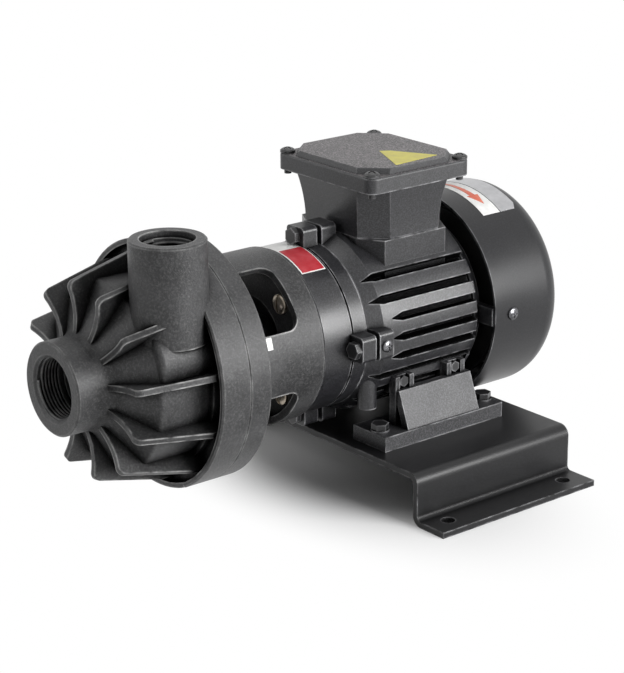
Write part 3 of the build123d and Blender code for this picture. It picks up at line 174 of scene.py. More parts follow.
def dress(tree, shader, base, worn_and_highlit, colour_worn_and_highlit, rough, gloss, height, bump, depth, radius):
    """Link a base colour with its pale edges, partly wear and partly a painted highlight, a roughness, a
    gloss and a relief on softly rounded edges to the shader. Slots and corners get painted shade: near black,
    rough and without a sheen."""
    shade_reach = 12 * MM
    shade_rough = 0.95
    # Pale edges over the base colour, partly wear and partly a painted highlight
    mix = add(tree, "ShaderNodeMix", {"data_type": "RGBA", 7: linear(colour_worn_and_highlit)}, {0: worn_and_highlit, 6: base})
    # Painted shade: slots and corners, where little light reaches, go near black, rough and without gloss
    open_air = add(tree, "ShaderNodeAmbientOcclusion",
                   {"only_local": True, "samples": 6, "Distance": shade_reach})
    unshaded = add(tree, "ShaderNodeMapRange", {"From Min": 0.52, "From Max": 0.86},
                {"Value": open_air.outputs["AO"]})
    painted_shade = add(tree, "ShaderNodeMix", {"data_type": "RGBA", 6: linear("#060606")},
               {0: unshaded.outputs["Result"], 7: mix.outputs[2]})
    tree.links.new(painted_shade.outputs[2], shader.inputs["Base Color"])
    matt = add(tree, "ShaderNodeMix", {"data_type": "FLOAT", 2: shade_rough},
               {0: unshaded.outputs["Result"], 3: rough})
    tree.links.new(matt.outputs[0], shader.inputs["Roughness"])
    # The socket's own value stays the gloss outside the painted shade, for when the link is left out
    shader.inputs["Specular IOR Level"].default_value = gloss
    sheen = add(tree, "ShaderNodeMath", {"operation": "MULTIPLY", 1: gloss}, {0: unshaded.outputs["Result"]})
    tree.links.new(sheen.outputs[0], shader.inputs["Specular IOR Level"])
    rounded = add(tree, "ShaderNodeBevel", {"samples": 6, "Radius": radius})
    relief = add(tree, "ShaderNodeBump", {"Strength": bump, "Distance": depth},
                 {"Height": height, "Normal": rounded.outputs["Normal"]})
    tree.links.new(relief.outputs["Normal"], shader.inputs["Normal"])


def moulded_plastic(name, colour, light, worn_and_highlit="#a4a4a3", grain=1.5, bump=0.95, rough=0.4, edge=0.5,
                    gloss=0.4):
    """Glass filled polypropylene, injection moulded: a satin grey skin with cloudy flow marks,
    pale specks of fibre and dull scuffs, and pale along its edges, partly from rubbing and partly as a
    painted highlight."""
    made, tree, shader, place = material(name)
    # Flow marks of about two centimetres
    cloud = add(tree, "ShaderNodeTexNoise", {"Scale": 1 / (22 * MM), "Detail": 8.0, "Roughness": 0.65},
                {"Vector": place})
    flow = add(tree, "ShaderNodeMapRange", {"From Min": 0.38, "From Max": 0.68},
               {"Value": cloud.outputs["Fac"]})
    tone = add(tree, "ShaderNodeMix", {"data_type": "RGBA", 6: linear(colour), 7: linear(light)},
               {0: flow.outputs["Result"]})
    # Real fibre specks are about half a millimetre; they are drawn coarser, to show at the photograph's size
    scuff = add(tree, "ShaderNodeTexNoise", {"Scale": 1 / (grain * MM), "Detail": 8.0, "Roughness": 0.75},
                {"Vector": place})
    speck = add(tree, "ShaderNodeMapRange", {"From Min": 0.48, "From Max": 0.68, "To Max": 0.15},
                {"Value": scuff.outputs["Fac"]})
    base = add(tree, "ShaderNodeMix", {"data_type": "RGBA", 7: linear(worn_and_highlit)},
               {0: speck.outputs["Result"], 6: tone.outputs[2]})
    spread = add(tree, "ShaderNodeMapRange", {"To Min": rough - 0.12, "To Max": rough + 0.14},
                 {"Value": cloud.outputs["Fac"]})
    rubbed_and_highlit = worn_and_highlit_edges(tree, place, reach=1.2 * MM, patch=9 * MM)
    dress(tree, shader, base.outputs[2], rubbed_and_highlit, worn_and_highlit, spread.outputs["Result"], gloss,
          scuff.outputs["Fac"], bump, depth=0.3 * MM, radius=edge * MM)
    shader.inputs["IOR"].default_value = 1.49
    return made


def textured_paint(name, colour, light, worn_and_highlit="#8b8b8d", grain=0.9, bump=0.45, rough=0.3, edge=0.4,
                   gloss=0.58, top=None):
    """Sprayed textured enamel on a die casting: black, grained like orange peel, and pale on its edges,
    partly where it is thin and partly as a painted highlight. Level tops may have a paler colour of their
    own, from rubbing."""
    made, tree, shader, place = material(name)
    # The real grain is about 0.4 mm; it is drawn coarser, to show at the photograph's size
    peel = add(tree, "ShaderNodeTexNoise", {"Scale": 1 / (grain * MM), "Detail": 3.0, "Roughness": 0.6},
               {"Vector": place})
    # Thicker and thinner coats, over about three centimetres
    cloud = add(tree, "ShaderNodeTexNoise", {"Scale": 1 / (30 * MM), "Detail": 5.0}, {"Vector": place})
    fleck = add(tree, "ShaderNodeMapRange", {"From Min": 0.44, "From Max": 0.66},
                {"Value": peel.outputs["Fac"]})
    base = add(tree, "ShaderNodeMix", {"data_type": "RGBA", 6: linear(colour), 7: linear(light)},
               {0: fleck.outputs["Result"]})
    if top:
        surface = add(tree, "ShaderNodeNewGeometry")
        facing = add(tree, "ShaderNodeSeparateXYZ", {}, {0: surface.outputs["Normal"]})
        level = add(tree, "ShaderNodeMapRange", {"From Min": 0.9, "From Max": 0.99},
                    {"Value": facing.outputs["Z"]})
        paler = add(tree, "ShaderNodeMath", {"operation": "MULTIPLY"},
                    {0: level.outputs["Result"], 1: fleck.outputs["Result"]})
        base = add(tree, "ShaderNodeMix", {"data_type": "RGBA", 7: linear(top)},
                   {0: paler.outputs[0], 6: base.outputs[2]})
    spread = add(tree, "ShaderNodeMapRange", {"To Min": rough - 0.06, "To Max": rough + 0.12},
                 {"Value": cloud.outputs["Fac"]})
    rubbed_and_highlit = worn_and_highlit_edges(tree, place, reach=1.1 * MM, patch=8 * MM)
    dress(tree, shader, base.outputs[2], rubbed_and_highlit, worn_and_highlit, spread.outputs["Result"], gloss,
          peel.outputs["Fac"], bump, depth=0.1 * MM, radius=edge * MM)
    shader.inputs["IOR"].default_value = 1.5
    return made


def turned_metal(name, colour, dull, rough=0.3, marks=0.6):
    """Machined or plated metal: bright, with fine tool marks and dull patches."""
    made, tree, shader, place = material(name)
    # Real tool marks are about a tenth of a millimetre; they are drawn coarser, to show at all
    streak = add(tree, "ShaderNodeTexNoise", {"Scale": 1 / (marks * MM), "Detail": 2.0}, {"Vector": place})
    patch = add(tree, "ShaderNodeTexNoise", {"Scale": 1 / (5 * MM), "Detail": 4.0}, {"Vector": place})
    tone = add(tree, "ShaderNodeMix", {"data_type": "RGBA", 6: linear(colour), 7: linear(dull)},
               {0: patch.outputs["Fac"]})
    tree.links.new(tone.outputs[2], shader.inputs["Base Color"])
    spread = add(tree, "ShaderNodeMapRange", {"To Min": rough - 0.08, "To Max": rough + 0.12},
                 {"Value": streak.outputs["Fac"]})
    tree.links.new(spread.outputs["Result"], shader.inputs["Roughness"])
    rounded = add(tree, "ShaderNodeBevel", {"samples": 6, "Radius": 0.25 * MM})
    relief = add(tree, "ShaderNodeBump", {"Strength": 0.1, "Distance": 0.05 * MM},
                 {"Height": streak.outputs["Fac"], "Normal": rounded.outputs["Normal"]})
    tree.links.new(relief.outputs["Normal"], shader.inputs["Normal"])
    shader.inputs["Metallic"].default_value = 1.0
    return made


def printed_film(name, colour, faded):
    """Printed and laminated sticker film: an even colour, a little faded in patches, with a soft sheen."""
    made, tree, shader, place = material(name)
    patch = add(tree, "ShaderNodeTexNoise", {"Scale": 1 / (7 * MM), "Detail": 5.0}, {"Vector": place})
    fade = add(tree, "ShaderNodeMapRange", {"From Min": 0.4, "From Max": 0.7},
               {"Value": patch.outputs["Fac"]})
    tone = add(tree, "ShaderNodeMix", {"data_type": "RGBA", 6: linear(colour), 7: linear(faded)},
               {0: fade.outputs["Result"]})
    tree.links.new(tone.outputs[2], shader.inputs["Base Color"])
    spread = add(tree, "ShaderNodeMapRange", {"To Min": 0.3, "To Max": 0.45},
                 {"Value": patch.outputs["Fac"]})
    tree.links.new(spread.outputs["Result"], shader.inputs["Roughness"])
    return made


# Operators

class PumpColours(bpy.types.PropertyGroup):
    """Colours that a user may change, as sRGB hex codes."""
    casing: bpy.props.StringProperty(
        name="Casing", description="Moulded plastic of the wet end", default="#212122")
    casing_light: bpy.props.StringProperty(
        name="Casing mottle", description="Paler mottle of the plastic", default="#373738")
    motor: bpy.props.StringProperty(
        name="Motor", description="Textured enamel of the motor castings", default="#111113")
    motor_light: bpy.props.StringProperty(
        name="Motor fleck", description="Paler fleck of the enamel", default="#313134")
    cowl: bpy.props.StringProperty(
        name="Cowl", description="Enamel of the pressed cowl", default="#161618")
    base: bpy.props.StringProperty(
        name="Base", description="Powder coat of the folded base", default="#0f0f10")


class PumpSizes(bpy.types.PropertyGroup):
    """Sizes that a user may change."""
    thread_pitch: bpy.props.FloatProperty(
        name="Thread pitch", description="Eleven threads to the inch", default=2.309 * MM, unit="LENGTH")
    lid_screw_head: bpy.props.FloatProperty(
        name="Lid screw head", description="Height of its pan head", default=3.5 * MM, unit="LENGTH")
    cowl_screw_head: bpy.props.FloatProperty(
        name="Cowl screw head", description="Height of its pan head", default=2.2 * MM, unit="LENGTH")
    lantern_screw_head: bpy.props.FloatProperty(
        name="Lantern screw head", description="Height of its cheese head", default=4.0 * MM, unit="LENGTH")
    earth_screw_head: bpy.props.FloatProperty(
        name="Earth screw head", description="Height of its pan head", default=2.3 * MM, unit="LENGTH")


class PUMP_OT_wet_end(bpy.types.Operator):
    """Finish the volute casing, the lantern and what is inside them"""
    bl_idname = "pump.wet_end"
    bl_label = "Wet end"

    def execute(self, context):
        colours = context.scene.pump_colours
        # Filled polypropylene: dark satin grey with cloudy patches, and pale edges on ribs and rims,
        # partly from rubbing and partly a painted highlight
        plastic = moulded_plastic("moulded_polypropylene", colours.casing, colours.casing_light)
        finish_nodes(["front_casing", "lantern"], plastic)
        # Unfilled polypropylene: an even mid grey, seen only through the windows and the ports
        inner = moulded_plastic("natural_polypropylene", "#59595a", "#6a6a6b")
        finish_nodes(["isolation_shell", "driven_magnet", "impeller", "shaft_support"], inner)
        # Nitrile rubber: near black and dull
        finish_nodes(["casing_seal", "box_gasket"],
                     moulded_plastic("nitrile_rubber", "#101010", "#1a1a1a", worn_and_highlit="#2a2a2a"))
        # Fired ceramic: hard, smooth and off-white
        finish_nodes(["pump_shaft", "front_thrust_ring", "rear_thrust_ring"],
                     moulded_plastic("fired_ceramic", "#d8d6cf", "#e8e6e0", worn_and_highlit="#f0eee8", rough=0.3))
        # White nylon: one small bright spot
        finish_nodes(["white_tab"],
                     moulded_plastic("white_nylon", "#dededc", "#ececea", worn_and_highlit="#f4f4f2"))
        # Pressed carbon: soft dark grey
        finish_nodes(["impeller_bush"],
                     moulded_plastic("pressed_carbon", "#18181a", "#242427", worn_and_highlit="#3a3a3c"))
        return {"FINISHED"}


class PUMP_OT_motor(bpy.types.Operator):
    """Finish the motor castings, feet, terminal box and cowl"""
    bl_idname = "pump.motor"
    bl_label = "Motor"

    def execute(self, context):
        colours = context.scene.pump_colours
        # Textured enamel: black and finely grained, with broad soft highlights and thin pale edges
        finish_nodes(["drive_end_shield", "motor_frame", "rear_end_shield", "terminal_box"],
                     textured_paint("textured_enamel", colours.motor, colours.motor_light))
        # The same enamel on the feet: rubbed greyer and rougher
        finish_nodes(["foot_near", "foot_far"],
                     textured_paint("foot_enamel", colours.motor, "#48484b", bump=0.6, rough=0.46))
        # The same enamel on the lid: its level top flecked with a warm pale grey
        finish_nodes(["terminal_box_lid"],
                     textured_paint("lid_enamel", colours.motor, colours.motor_light, bump=0.6,
                                    rough=0.42, top="#8c8587"))
        # Enamel on pressed sheet: black and smooth, with one long highlight round the cowl
        finish_nodes(["fan_cowl"],
                     textured_paint("cowl_enamel", colours.cowl, "#232325", worn_and_highlit="#6c6c6e", bump=0.12,
                                    rough=0.3, gloss=0.38))
        # Powder coat: black satin, with a line of light along each fold
        finish_nodes(["base_plate"],
                     textured_paint("powder_coat", colours.base, "#1a1a1c", worn_and_highlit="#78787a", grain=1.0,
                                    bump=0.14, rough=0.34, gloss=0.36))
        # Black nylon: plain and dull
        finish_nodes(["cooling_fan", "terminal_block", "cable_gland"],
                     moulded_plastic("black_nylon", "#141414", "#202020", worn_and_highlit="#3c3c3c"))
        return {"FINISHED"}


class PUMP_OT_metal(bpy.types.Operator):
    """Finish the shafts, screws, magnets, cores and windings"""
    bl_idname = "pump.metal"
    bl_label = "Metal parts"

    def execute(self, context):
        # Turned steel: mid grey with fine tool marks
        finish_nodes(["magnet_hub", "hub_grub_screw", "motor_shaft", "motor_key", "front_bearing",
                      "rear_bearing"], turned_metal("turned_steel", "#96969a", "#6f6f73"))
        # Nickel plate: bright, a little warm
        finish_nodes(["drive_magnets"], turned_metal("nickel_plate", "#b5b3ad", "#97958f", rough=0.25))
        # Core sheet: dark and dull
        finish_nodes(["stator_core", "rotor_core"],
                     turned_metal("core_sheet", "#55555a", "#3d3d40", rough=0.5))
        # Enamelled copper: red brown
        finish_nodes(["stator_windings"],
                     turned_metal("enamelled_copper", "#a56238", "#7c4626", rough=0.4))
        # Turned brass: muted yellow
        finish_nodes(["terminal_studs"], turned_metal("turned_brass", "#bd9b52", "#97793c"))
        # Black oxide: near black bolts with pale corners, partly from rubbing and partly a painted highlight
        finish_nodes(["casing_screws", "tie_bolts", "foot_screws", "foot_bolts", "foot_nuts"],
                     textured_paint("black_oxide", "#121213", "#262628", worn_and_highlit="#7a7a7c", grain=0.8, bump=0.12,
                                    rough=0.36, edge=0.3))
        return {"FINISHED"}


def pipe_thread_tree():
    """Helical ridge of a pipe thread, standing in from the wall of a port."""
    tree = bpy.data.node_groups.new("pipe_thread", "GeometryNodeTree")
    for name, kind in (
        ("Radius", "NodeSocketFloat"), ("Pitch", "NodeSocketFloat"), ("Turns", "NodeSocketFloat"),
        ("Place", "NodeSocketVector"), ("Turn", "NodeSocketVector"), ("Material", "NodeSocketMaterial"),
    ):
        tree.interface.new_socket(name, in_out="INPUT", socket_type=kind)
    tree.interface.new_socket("Geometry", in_out="OUTPUT", socket_type="NodeSocketGeometry")
    given = add(tree, "NodeGroupInput").outputs
    height = add(tree, "ShaderNodeMath", {"operation": "MULTIPLY"}, {0: given["Pitch"], 1: given["Turns"]})
    path = add(tree, "GeometryNodeCurveSpiral", {"Resolution": 64}, {
        "Rotations": given["Turns"], "Start Radius": given["Radius"], "End Radius": given["Radius"],
        "Height": height.outputs[0]})
    upright = add(tree, "GeometryNodeSetCurveNormal", {"mode": "Z_UP"}, {"Curve": path.outputs["Curve"]})
    half = add(tree, "ShaderNodeMath", {"operation": "MULTIPLY", 1: 0.5}, {0: given["Pitch"]})
    ridge = add(tree, "GeometryNodeCurvePrimitiveCircle", {"Resolution": 4}, {"Radius": half.outputs[0]})
    swept = add(tree, "GeometryNodeCurveToMesh", {"Fill Caps": True},
                {"Curve": upright.outputs["Curve"], "Profile Curve": ridge.outputs["Curve"]})
    placed = add(tree, "GeometryNodeTransform", {}, {
        "Geometry": swept.outputs["Mesh"], "Translation": given["Place"], "Rotation": given["Turn"]})
    real = add(tree, "GeometryNodeRealizeInstances", {}, {"Geometry": placed.outputs["Geometry"]})
    dressed = add(tree, "GeometryNodeSetMaterial", {}, {
        "Geometry": real.outputs["Geometry"], "Material": given["Material"]})
    add(tree, "NodeGroupOutput", {}, {"Geometry": dressed.outputs["Geometry"]})
    return tree


def grown(name, tree, values, body, points=()):
    """Run a node tree with these inputs on (place, turn) points and keep its result as a plain mesh."""
    mesh = bpy.data.meshes.new(name)
    mesh.from_pydata([place for place, _ in points], [], [])
    turns = mesh.attributes.new("turn", "FLOAT_VECTOR", "POINT")
    for item, (_, turn) in zip(turns.data, points):
        item.vector = turn
    seed = bpy.data.objects.new(name, mesh)
    bpy.context.scene.collection.objects.link(seed)
    modifier = seed.modifiers.new("grow", "NODES")
    modifier.node_group = tree
    sockets = {item.name: item.identifier for item in tree.interface.items_tree if item.in_out == "INPUT"}
    for label, value in values.items():
        modifier[sockets[label]] = value
    ready = seed.evaluated_get(bpy.context.evaluated_depsgraph_get())
    mesh = bpy.data.meshes.new_from_object(ready)
    seed.modifiers.clear()
    seed.data = mesh
    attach(seed, body)
    return seed


class PUMP_OT_threads(bpy.types.Operator):
    """Cut the pipe threads of the two ports"""
    bl_idname = "pump.threads"
    bl_label = "Port threads"

    def execute(self, context):
        sizes = context.scene.pump_sizes
        tree = pipe_thread_tree()
        plastic = bpy.data.materials["moulded_polypropylene"]
        # The ridge's middle line runs on the wall of the port, and the ridge stands half a pitch in from it
        for name, along in (("inlet", (0, 1, 0)), ("outlet", (0, 0, -1))):
            port = mount[name]
            wall = port["dims"]["r_mm"] * MM
            length = port["dims"]["length_mm"] * MM - sizes.thread_pitch
            inward = Vector(along)
            # A port's place is the middle of its hole
            start = Vector(port["pos_m"]) - inward * length / 2
            turn = inward.to_track_quat("Z", "Y").to_euler()
            grown(name + "_thread", tree, {
                "Radius": wall, "Pitch": sizes.thread_pitch, "Turns": length / sizes.thread_pitch,
                "Place": start, "Turn": turn, "Material": plastic}, "housing")
        return {"FINISHED"}


def screw_tree():
    """A screw at each point: a domed head with one slot or a cross of two cut into it, on its shank."""
    tree = bpy.data.node_groups.new("screw", "GeometryNodeTree")
    tree.interface.new_socket("Geometry", in_out="INPUT", socket_type="NodeSocketGeometry")
    for name in ("Head radius", "Head height", "Slot width", "Slot length", "Slot depth", "Shank radius",
                 "Shank length"):
        tree.interface.new_socket(name, in_out="INPUT", socket_type="NodeSocketFloat")
    tree.interface.new_socket("Slots", in_out="INPUT", socket_type="NodeSocketInt")
    tree.interface.new_socket("Material", in_out="INPUT", socket_type="NodeSocketMaterial")
    tree.interface.new_socket("Geometry", in_out="OUTPUT", socket_type="NodeSocketGeometry")
    given = add(tree, "NodeGroupInput").outputs
    # How much wider than the head its dome is, and the angle from which an edge stays sharp
    dome_share = 1.12
    sharp_angle = math.radians(35)
    # The dome is a ball a little wider than the head, trimmed by the head's drum
    cylinder = add(tree, "GeometryNodeMeshCylinder", {"Vertices": 32},
                   {"Radius": given["Head radius"], "Depth": given["Head height"]})
    half = add(tree, "ShaderNodeMath", {"operation": "MULTIPLY", 1: 0.5}, {0: given["Head height"]})
    lift = add(tree, "ShaderNodeCombineXYZ", {}, {"Z": half.outputs[0]})
    drum = add(tree, "GeometryNodeTransform", {},
               {"Geometry": cylinder.outputs["Mesh"], "Translation": lift.outputs[0]})
    sphere = add(tree, "GeometryNodeMeshUVSphere", {"Segments": 32, "Rings": 24, "Radius": 1.0})
    wide = add(tree, "ShaderNodeMath", {"operation": "MULTIPLY", 1: dome_share}, {0: given["Head radius"]})
    spread = add(tree, "ShaderNodeCombineXYZ", {},
                 {"X": wide.outputs[0], "Y": wide.outputs[0], "Z": given["Head height"]})
    ball = add(tree, "GeometryNodeTransform", {},
               {"Geometry": sphere.outputs["Mesh"], "Scale": spread.outputs[0]})
    head = add(tree, "GeometryNodeMeshBoolean", {"operation": "INTERSECT", "solver": "EXACT"})
    tree.links.new(ball.outputs[0], head.inputs["Mesh 2"])
    tree.links.new(drum.outputs[0], head.inputs["Mesh 2"])
    # The slot is cut by a bar twice its depth, centred on the top of the head
    depth = add(tree, "ShaderNodeMath", {"operation": "MULTIPLY", 1: 2.0}, {0: given["Slot depth"]})
    size = add(tree, "ShaderNodeCombineXYZ", {},
               {"X": given["Slot length"], "Y": given["Slot width"], "Z": depth.outputs[0]})
    cube = add(tree, "GeometryNodeMeshCube", {}, {"Size": size.outputs[0]})
    top = add(tree, "ShaderNodeCombineXYZ", {}, {"Z": given["Head height"]})
    bar = add(tree, "GeometryNodeTransform", {},
              {"Geometry": cube.outputs["Mesh"], "Translation": top.outputs[0]})
    # One bar for a slot, and a second at a right angle for a cross
    marks = add(tree, "GeometryNodeMeshLine", {"Offset": (0, 0, 0)}, {"Count": given["Slots"]})
    index = add(tree, "GeometryNodeInputIndex")
    quarter = add(tree, "ShaderNodeMath", {"operation": "MULTIPLY", 1: math.pi / 2}, {0: index.outputs[0]})
    turned = add(tree, "ShaderNodeCombineXYZ", {}, {"Z": quarter.outputs[0]})
    laid = add(tree, "GeometryNodeInstanceOnPoints", {}, {
        "Points": marks.outputs["Mesh"], "Instance": bar.outputs[0], "Rotation": turned.outputs[0]})
    bars = add(tree, "GeometryNodeRealizeInstances", {}, {"Geometry": laid.outputs["Instances"]})
    cut = add(tree, "GeometryNodeMeshBoolean",
              {"operation": "DIFFERENCE", "solver": "EXACT", "Self Intersection": True},
              {"Mesh 1": head.outputs["Mesh"], "Mesh 2": bars.outputs[0]}).outputs["Mesh"]
    # The shank hangs below the head's underside
    shank = add(tree, "GeometryNodeMeshCylinder", {"Vertices": 24},
                {"Radius": given["Shank radius"], "Depth": given["Shank length"]})
    below = add(tree, "ShaderNodeMath", {"operation": "MULTIPLY", 1: -0.5}, {0: given["Shank length"]})
    drop = add(tree, "ShaderNodeCombineXYZ", {}, {"Z": below.outputs[0]})
    hung = add(tree, "GeometryNodeTransform", {},
               {"Geometry": shank.outputs["Mesh"], "Translation": drop.outputs[0]})
    whole = add(tree, "GeometryNodeJoinGeometry")
    tree.links.new(cut, whole.inputs[0])
    tree.links.new(hung.outputs[0], whole.inputs[0])
    turn = add(tree, "GeometryNodeInputNamedAttribute", {"data_type": "FLOAT_VECTOR", "Name": "turn"})
    placed = add(tree, "GeometryNodeInstanceOnPoints", {}, {
        "Points": given["Geometry"], "Instance": whole.outputs[0], "Rotation": turn.outputs["Attribute"]})
    real = add(tree, "GeometryNodeRealizeInstances", {}, {"Geometry": placed.outputs["Instances"]})
    smooth = add(tree, "GeometryNodeSetShadeSmooth", {"domain": "FACE"}, {"Geometry": real.outputs[0]})
    angle = add(tree, "GeometryNodeInputMeshEdgeAngle")
    sharp = add(tree, "ShaderNodeMath", {"operation": "GREATER_THAN", 1: sharp_angle},
                {0: angle.outputs["Unsigned Angle"]})
    crisp = add(tree, "GeometryNodeSetShadeSmooth", {"domain": "EDGE", "Shade Smooth": False},
                {"Geometry": smooth.outputs[0], "Selection": sharp.outputs[0]})
    dressed = add(tree, "GeometryNodeSetMaterial", {}, {
        "Geometry": crisp.outputs[0], "Material": given["Material"]})
    add(tree, "NodeGroupOutput", {}, {"Geometry": dressed.outputs["Geometry"]})
    return tree


def solids(node):
    """Corner points of each separate solid of a CAD node."""
    shape = bmesh.new()
    shape.from_mesh(frame["nodes"][node].data)
    bmesh.ops.remove_doubles(shape, verts=shape.verts, dist=0.001 * MM)
    left = set(shape.verts)
    found = []
    while left:
        waiting = [left.pop()]
        group = []
        while waiting:
            vert = waiting.pop()
            group.append(vert.co.copy())
            near = {edge.other_vert(vert) for edge in vert.link_edges} & left
            left -= near
            waiting += near
        found.append(group)
    shape.free()
    return sorted(found, key=lambda group: tuple(round(v, 4) for v in sum(group, Vector())))


def outward(middle):
    """Direction away from the shaft line."""
    return Vector((middle.x, 0, middle.z - AXIS_Z)).normalized()


def upward(middle):
    """Direction of the lid screws' heads."""
    return Vector((0, 0, 1))


def forward(middle):
    """Direction of the lantern screws' heads, towards the inlet."""
    return Vector((0, -1, 0))


class PUMP_OT_screws(bpy.types.Operator):
    """Slotted and cross recessed screws in place of the plain ones"""
    bl_idname = "pump.screws"
    bl_label = "Screws"

    def execute(self, context):
        sizes = context.scene.pump_sizes
        tree = screw_tree()
        least_length = 0.2 * MM
        # Blackened steel: black heads with thin pale corners, partly from rubbing and partly a painted
        # highlight
        black = textured_paint("blackened_steel", "#0d0d0e", "#1a1a1b", worn_and_highlit="#6a6a6c", grain=0.8, bump=0.1,
                               rough=0.26, edge=0.3)
        # Yellow zinc: a warm pale glint deep in the windows
        bronzed = turned_metal("yellow_zinc", "#d2c8b8", "#94897a", rough=0.36)
        # Blackened zinc: silver where the black is worn through
        bright = turned_metal("blackened_zinc", "#8e8e91", "#2c2c2e", rough=0.26)
        # Each row: node, finish, material slot, count of slots in the head, height of the new head,
        # height of the plain CAD head, and the way that the head faces
        for node, made, slot, slots, height, plain, direction in (
            ("lid_screws", black, "black_screw", 2, sizes.lid_screw_head, 3.0 * MM, upward),
            ("cowl_screws", bright, "black_screw", 2, sizes.cowl_screw_head, 2.2 * MM, outward),
            ("lantern_screws", bronzed, "bright_screw", 1, sizes.lantern_screw_head, 4.0 * MM, forward),
            ("earth_screw", bright, "bright_screw", 2, sizes.earth_screw_head, 2.3 * MM, outward),
        ):
            points = []
            # The new screws take their place, head radius, shank radius and shank length from the plain ones
            for corners in solids(node):
                low = Vector([min(v[i] for v in corners) for i in range(3)])
                high = Vector([max(v[i] for v in corners) for i in range(3)])
                middle = (low + high) / 2
                way = direction(middle)
                along = [(v - middle).dot(way) for v in corners]
                head = max((v - middle - way * a).length for v, a in zip(corners, along))
                # The shank's radius is read from the corners at its far end
                end = min(along) + 0.01 * MM
                shank = min((v - middle - way * a).length for v, a in zip(corners, along) if a < end)
                seat = middle + way * (max(along) - plain)
                points.append((seat, way.to_track_quat("Z", "X").to_euler()))
                length = max(max(along) - plain - min(along), least_length)
            # A cross has short narrow arms, and a single slot runs right across; both go half way down
            slot_width = 0.22 * head if slots == 2 else 0.26 * head
            slot_length = 1.3 * head if slots == 2 else 2.4 * head
            slot_depth = 0.55 * height
            least_shank = 0.3 * head
            piece = grown(node + "_cut", tree, {
                "Head radius": head, "Head height": height, "Slot width": slot_width,
                "Slot length": slot_length, "Slot depth": slot_depth,
                "Shank radius": max(shank, least_shank), "Shank length": length, "Slots": slots,
                "Material": made}, "housing", points)
            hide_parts(node)
        return {"FINISHED"}


class PUMP_OT_labels(bpy.types.Operator):
    """Plain stickers and the bare plate"""
    bl_idname = "pump.labels"
    bl_label = "Labels"

    def execute(self, context):
        # Coated paper: off-white, the palest thing on the pump
        paper = printed_film("coated_paper", "#e4e4e2", "#d2d2d0")
        # Red, orange and yellow print: the only strong colours
        red = printed_film("printed_red", "#a3202a", "#b03a42")
        orange = printed_film("printed_orange", "#c8583c", "#d67c62")
        yellow = printed_film("printed_yellow", "#d6cc3c", "#c9bd52")
        # Bare aluminium: pale soft grey beside the paper
        plate = turned_metal("bare_aluminium", "#c4c4c6", "#a2a2a4", rough=0.35)
        # Thickness of a sticker, and the outer radii of the shield's drum and of the cowl
        film = 0.15 * MM
        drum = 55.0 * MM
        cowl = 70.6 * MM
        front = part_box("drive_end_shield")[0].y
        sticker = band(front, 5, 24, 56.5, 112)
        new_piece("drum_sticker", drum_patch(drum, film, sticker), paper, "housing")
        panel = band(front, 6, 23.3, 57.3, 84)
        new_piece("drum_sticker_panel", drum_patch(drum + film, film, panel), red, "housing")
        # The tab shows past the casing ring's edge, on the lantern. These say how far, how deep it sits
        # and how thick it is
        tab_reach = 4 * MM
        tab_depth = 1 * MM
        tab_thickness = 1.4 * MM
        lo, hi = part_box("white_tab")
        outer = math.hypot(hi.x, lo.z - AXIS_Z)
        low = math.degrees(math.atan2(lo.z - AXIS_Z, hi.x))
        high = math.degrees(math.atan2(hi.z - AXIS_Z, lo.x))
        shown = hi.y + tab_reach
        strip = [(lo.y, low), (shown, low), (shown, high), (lo.y, high)]
        tab = new_piece("white_tab_strip", drum_patch(outer - tab_depth, tab_thickness, strip),
                        bpy.data.materials["white_nylon"], "housing")
        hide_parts("white_tab")
        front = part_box("fan_cowl")[0].y
        sticker = band(front, 18, 33, 57, 104)
        new_piece("cowl_sticker", drum_patch(cowl, film, sticker), paper, "housing")
        # Tail, barbs and point of the arrow, which shows the way that the rotor turns
        arrow = outlined(front, (
            (23.5, 96), (26, 96), (27.5, 74), (30, 74), (26.5, 65), (20.5, 74), (23, 74)))
        new_piece("cowl_arrow", drum_patch(cowl + film, film, arrow), orange, "housing")
        # The bare plate beside it, with one corner cut off
        bare = outlined(front, ((33.5, 57), (46, 57), (49, 61), (49, 110), (33.5, 110)))
        new_piece("cowl_plate", drum_patch(cowl, 2 * film, bare), plate, "housing")
        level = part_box("terminal_box_lid")[1].z
        shape = bmesh.new()
        # Corners of the bare patch, across and along the lid in millimetres
        corners = ((5, -8), (9, -2), (37, 13.3), (39.7, -24))
        face = shape.faces.new([shape.verts.new((x * MM, y * MM, level)) for x, y in corners])
        made = bmesh.ops.extrude_face_region(shape, geom=[face])
        for vert in made["geom"]:
            if isinstance(vert, bmesh.types.BMVert):
                vert.co.z += film
        new_piece("lid_patch", shape, yellow, "housing")
        return {"FINISHED"}


def seen(tree):
    """1 for rays from the camera and for mirrored or transmitted ones, which show the white background."""
    rays = add(tree, "ShaderNodeLightPath").outputs
    direct = add(tree, "ShaderNodeMath", {"operation": "MAXIMUM"},
                 {0: rays["Is Camera Ray"], 1: rays["Is Glossy Ray"]})
    return add(tree, "ShaderNodeMath", {"operation": "MAXIMUM"},
               {0: direct.outputs[0], 1: rays["Is Transmission Ray"]}).outputs[0]


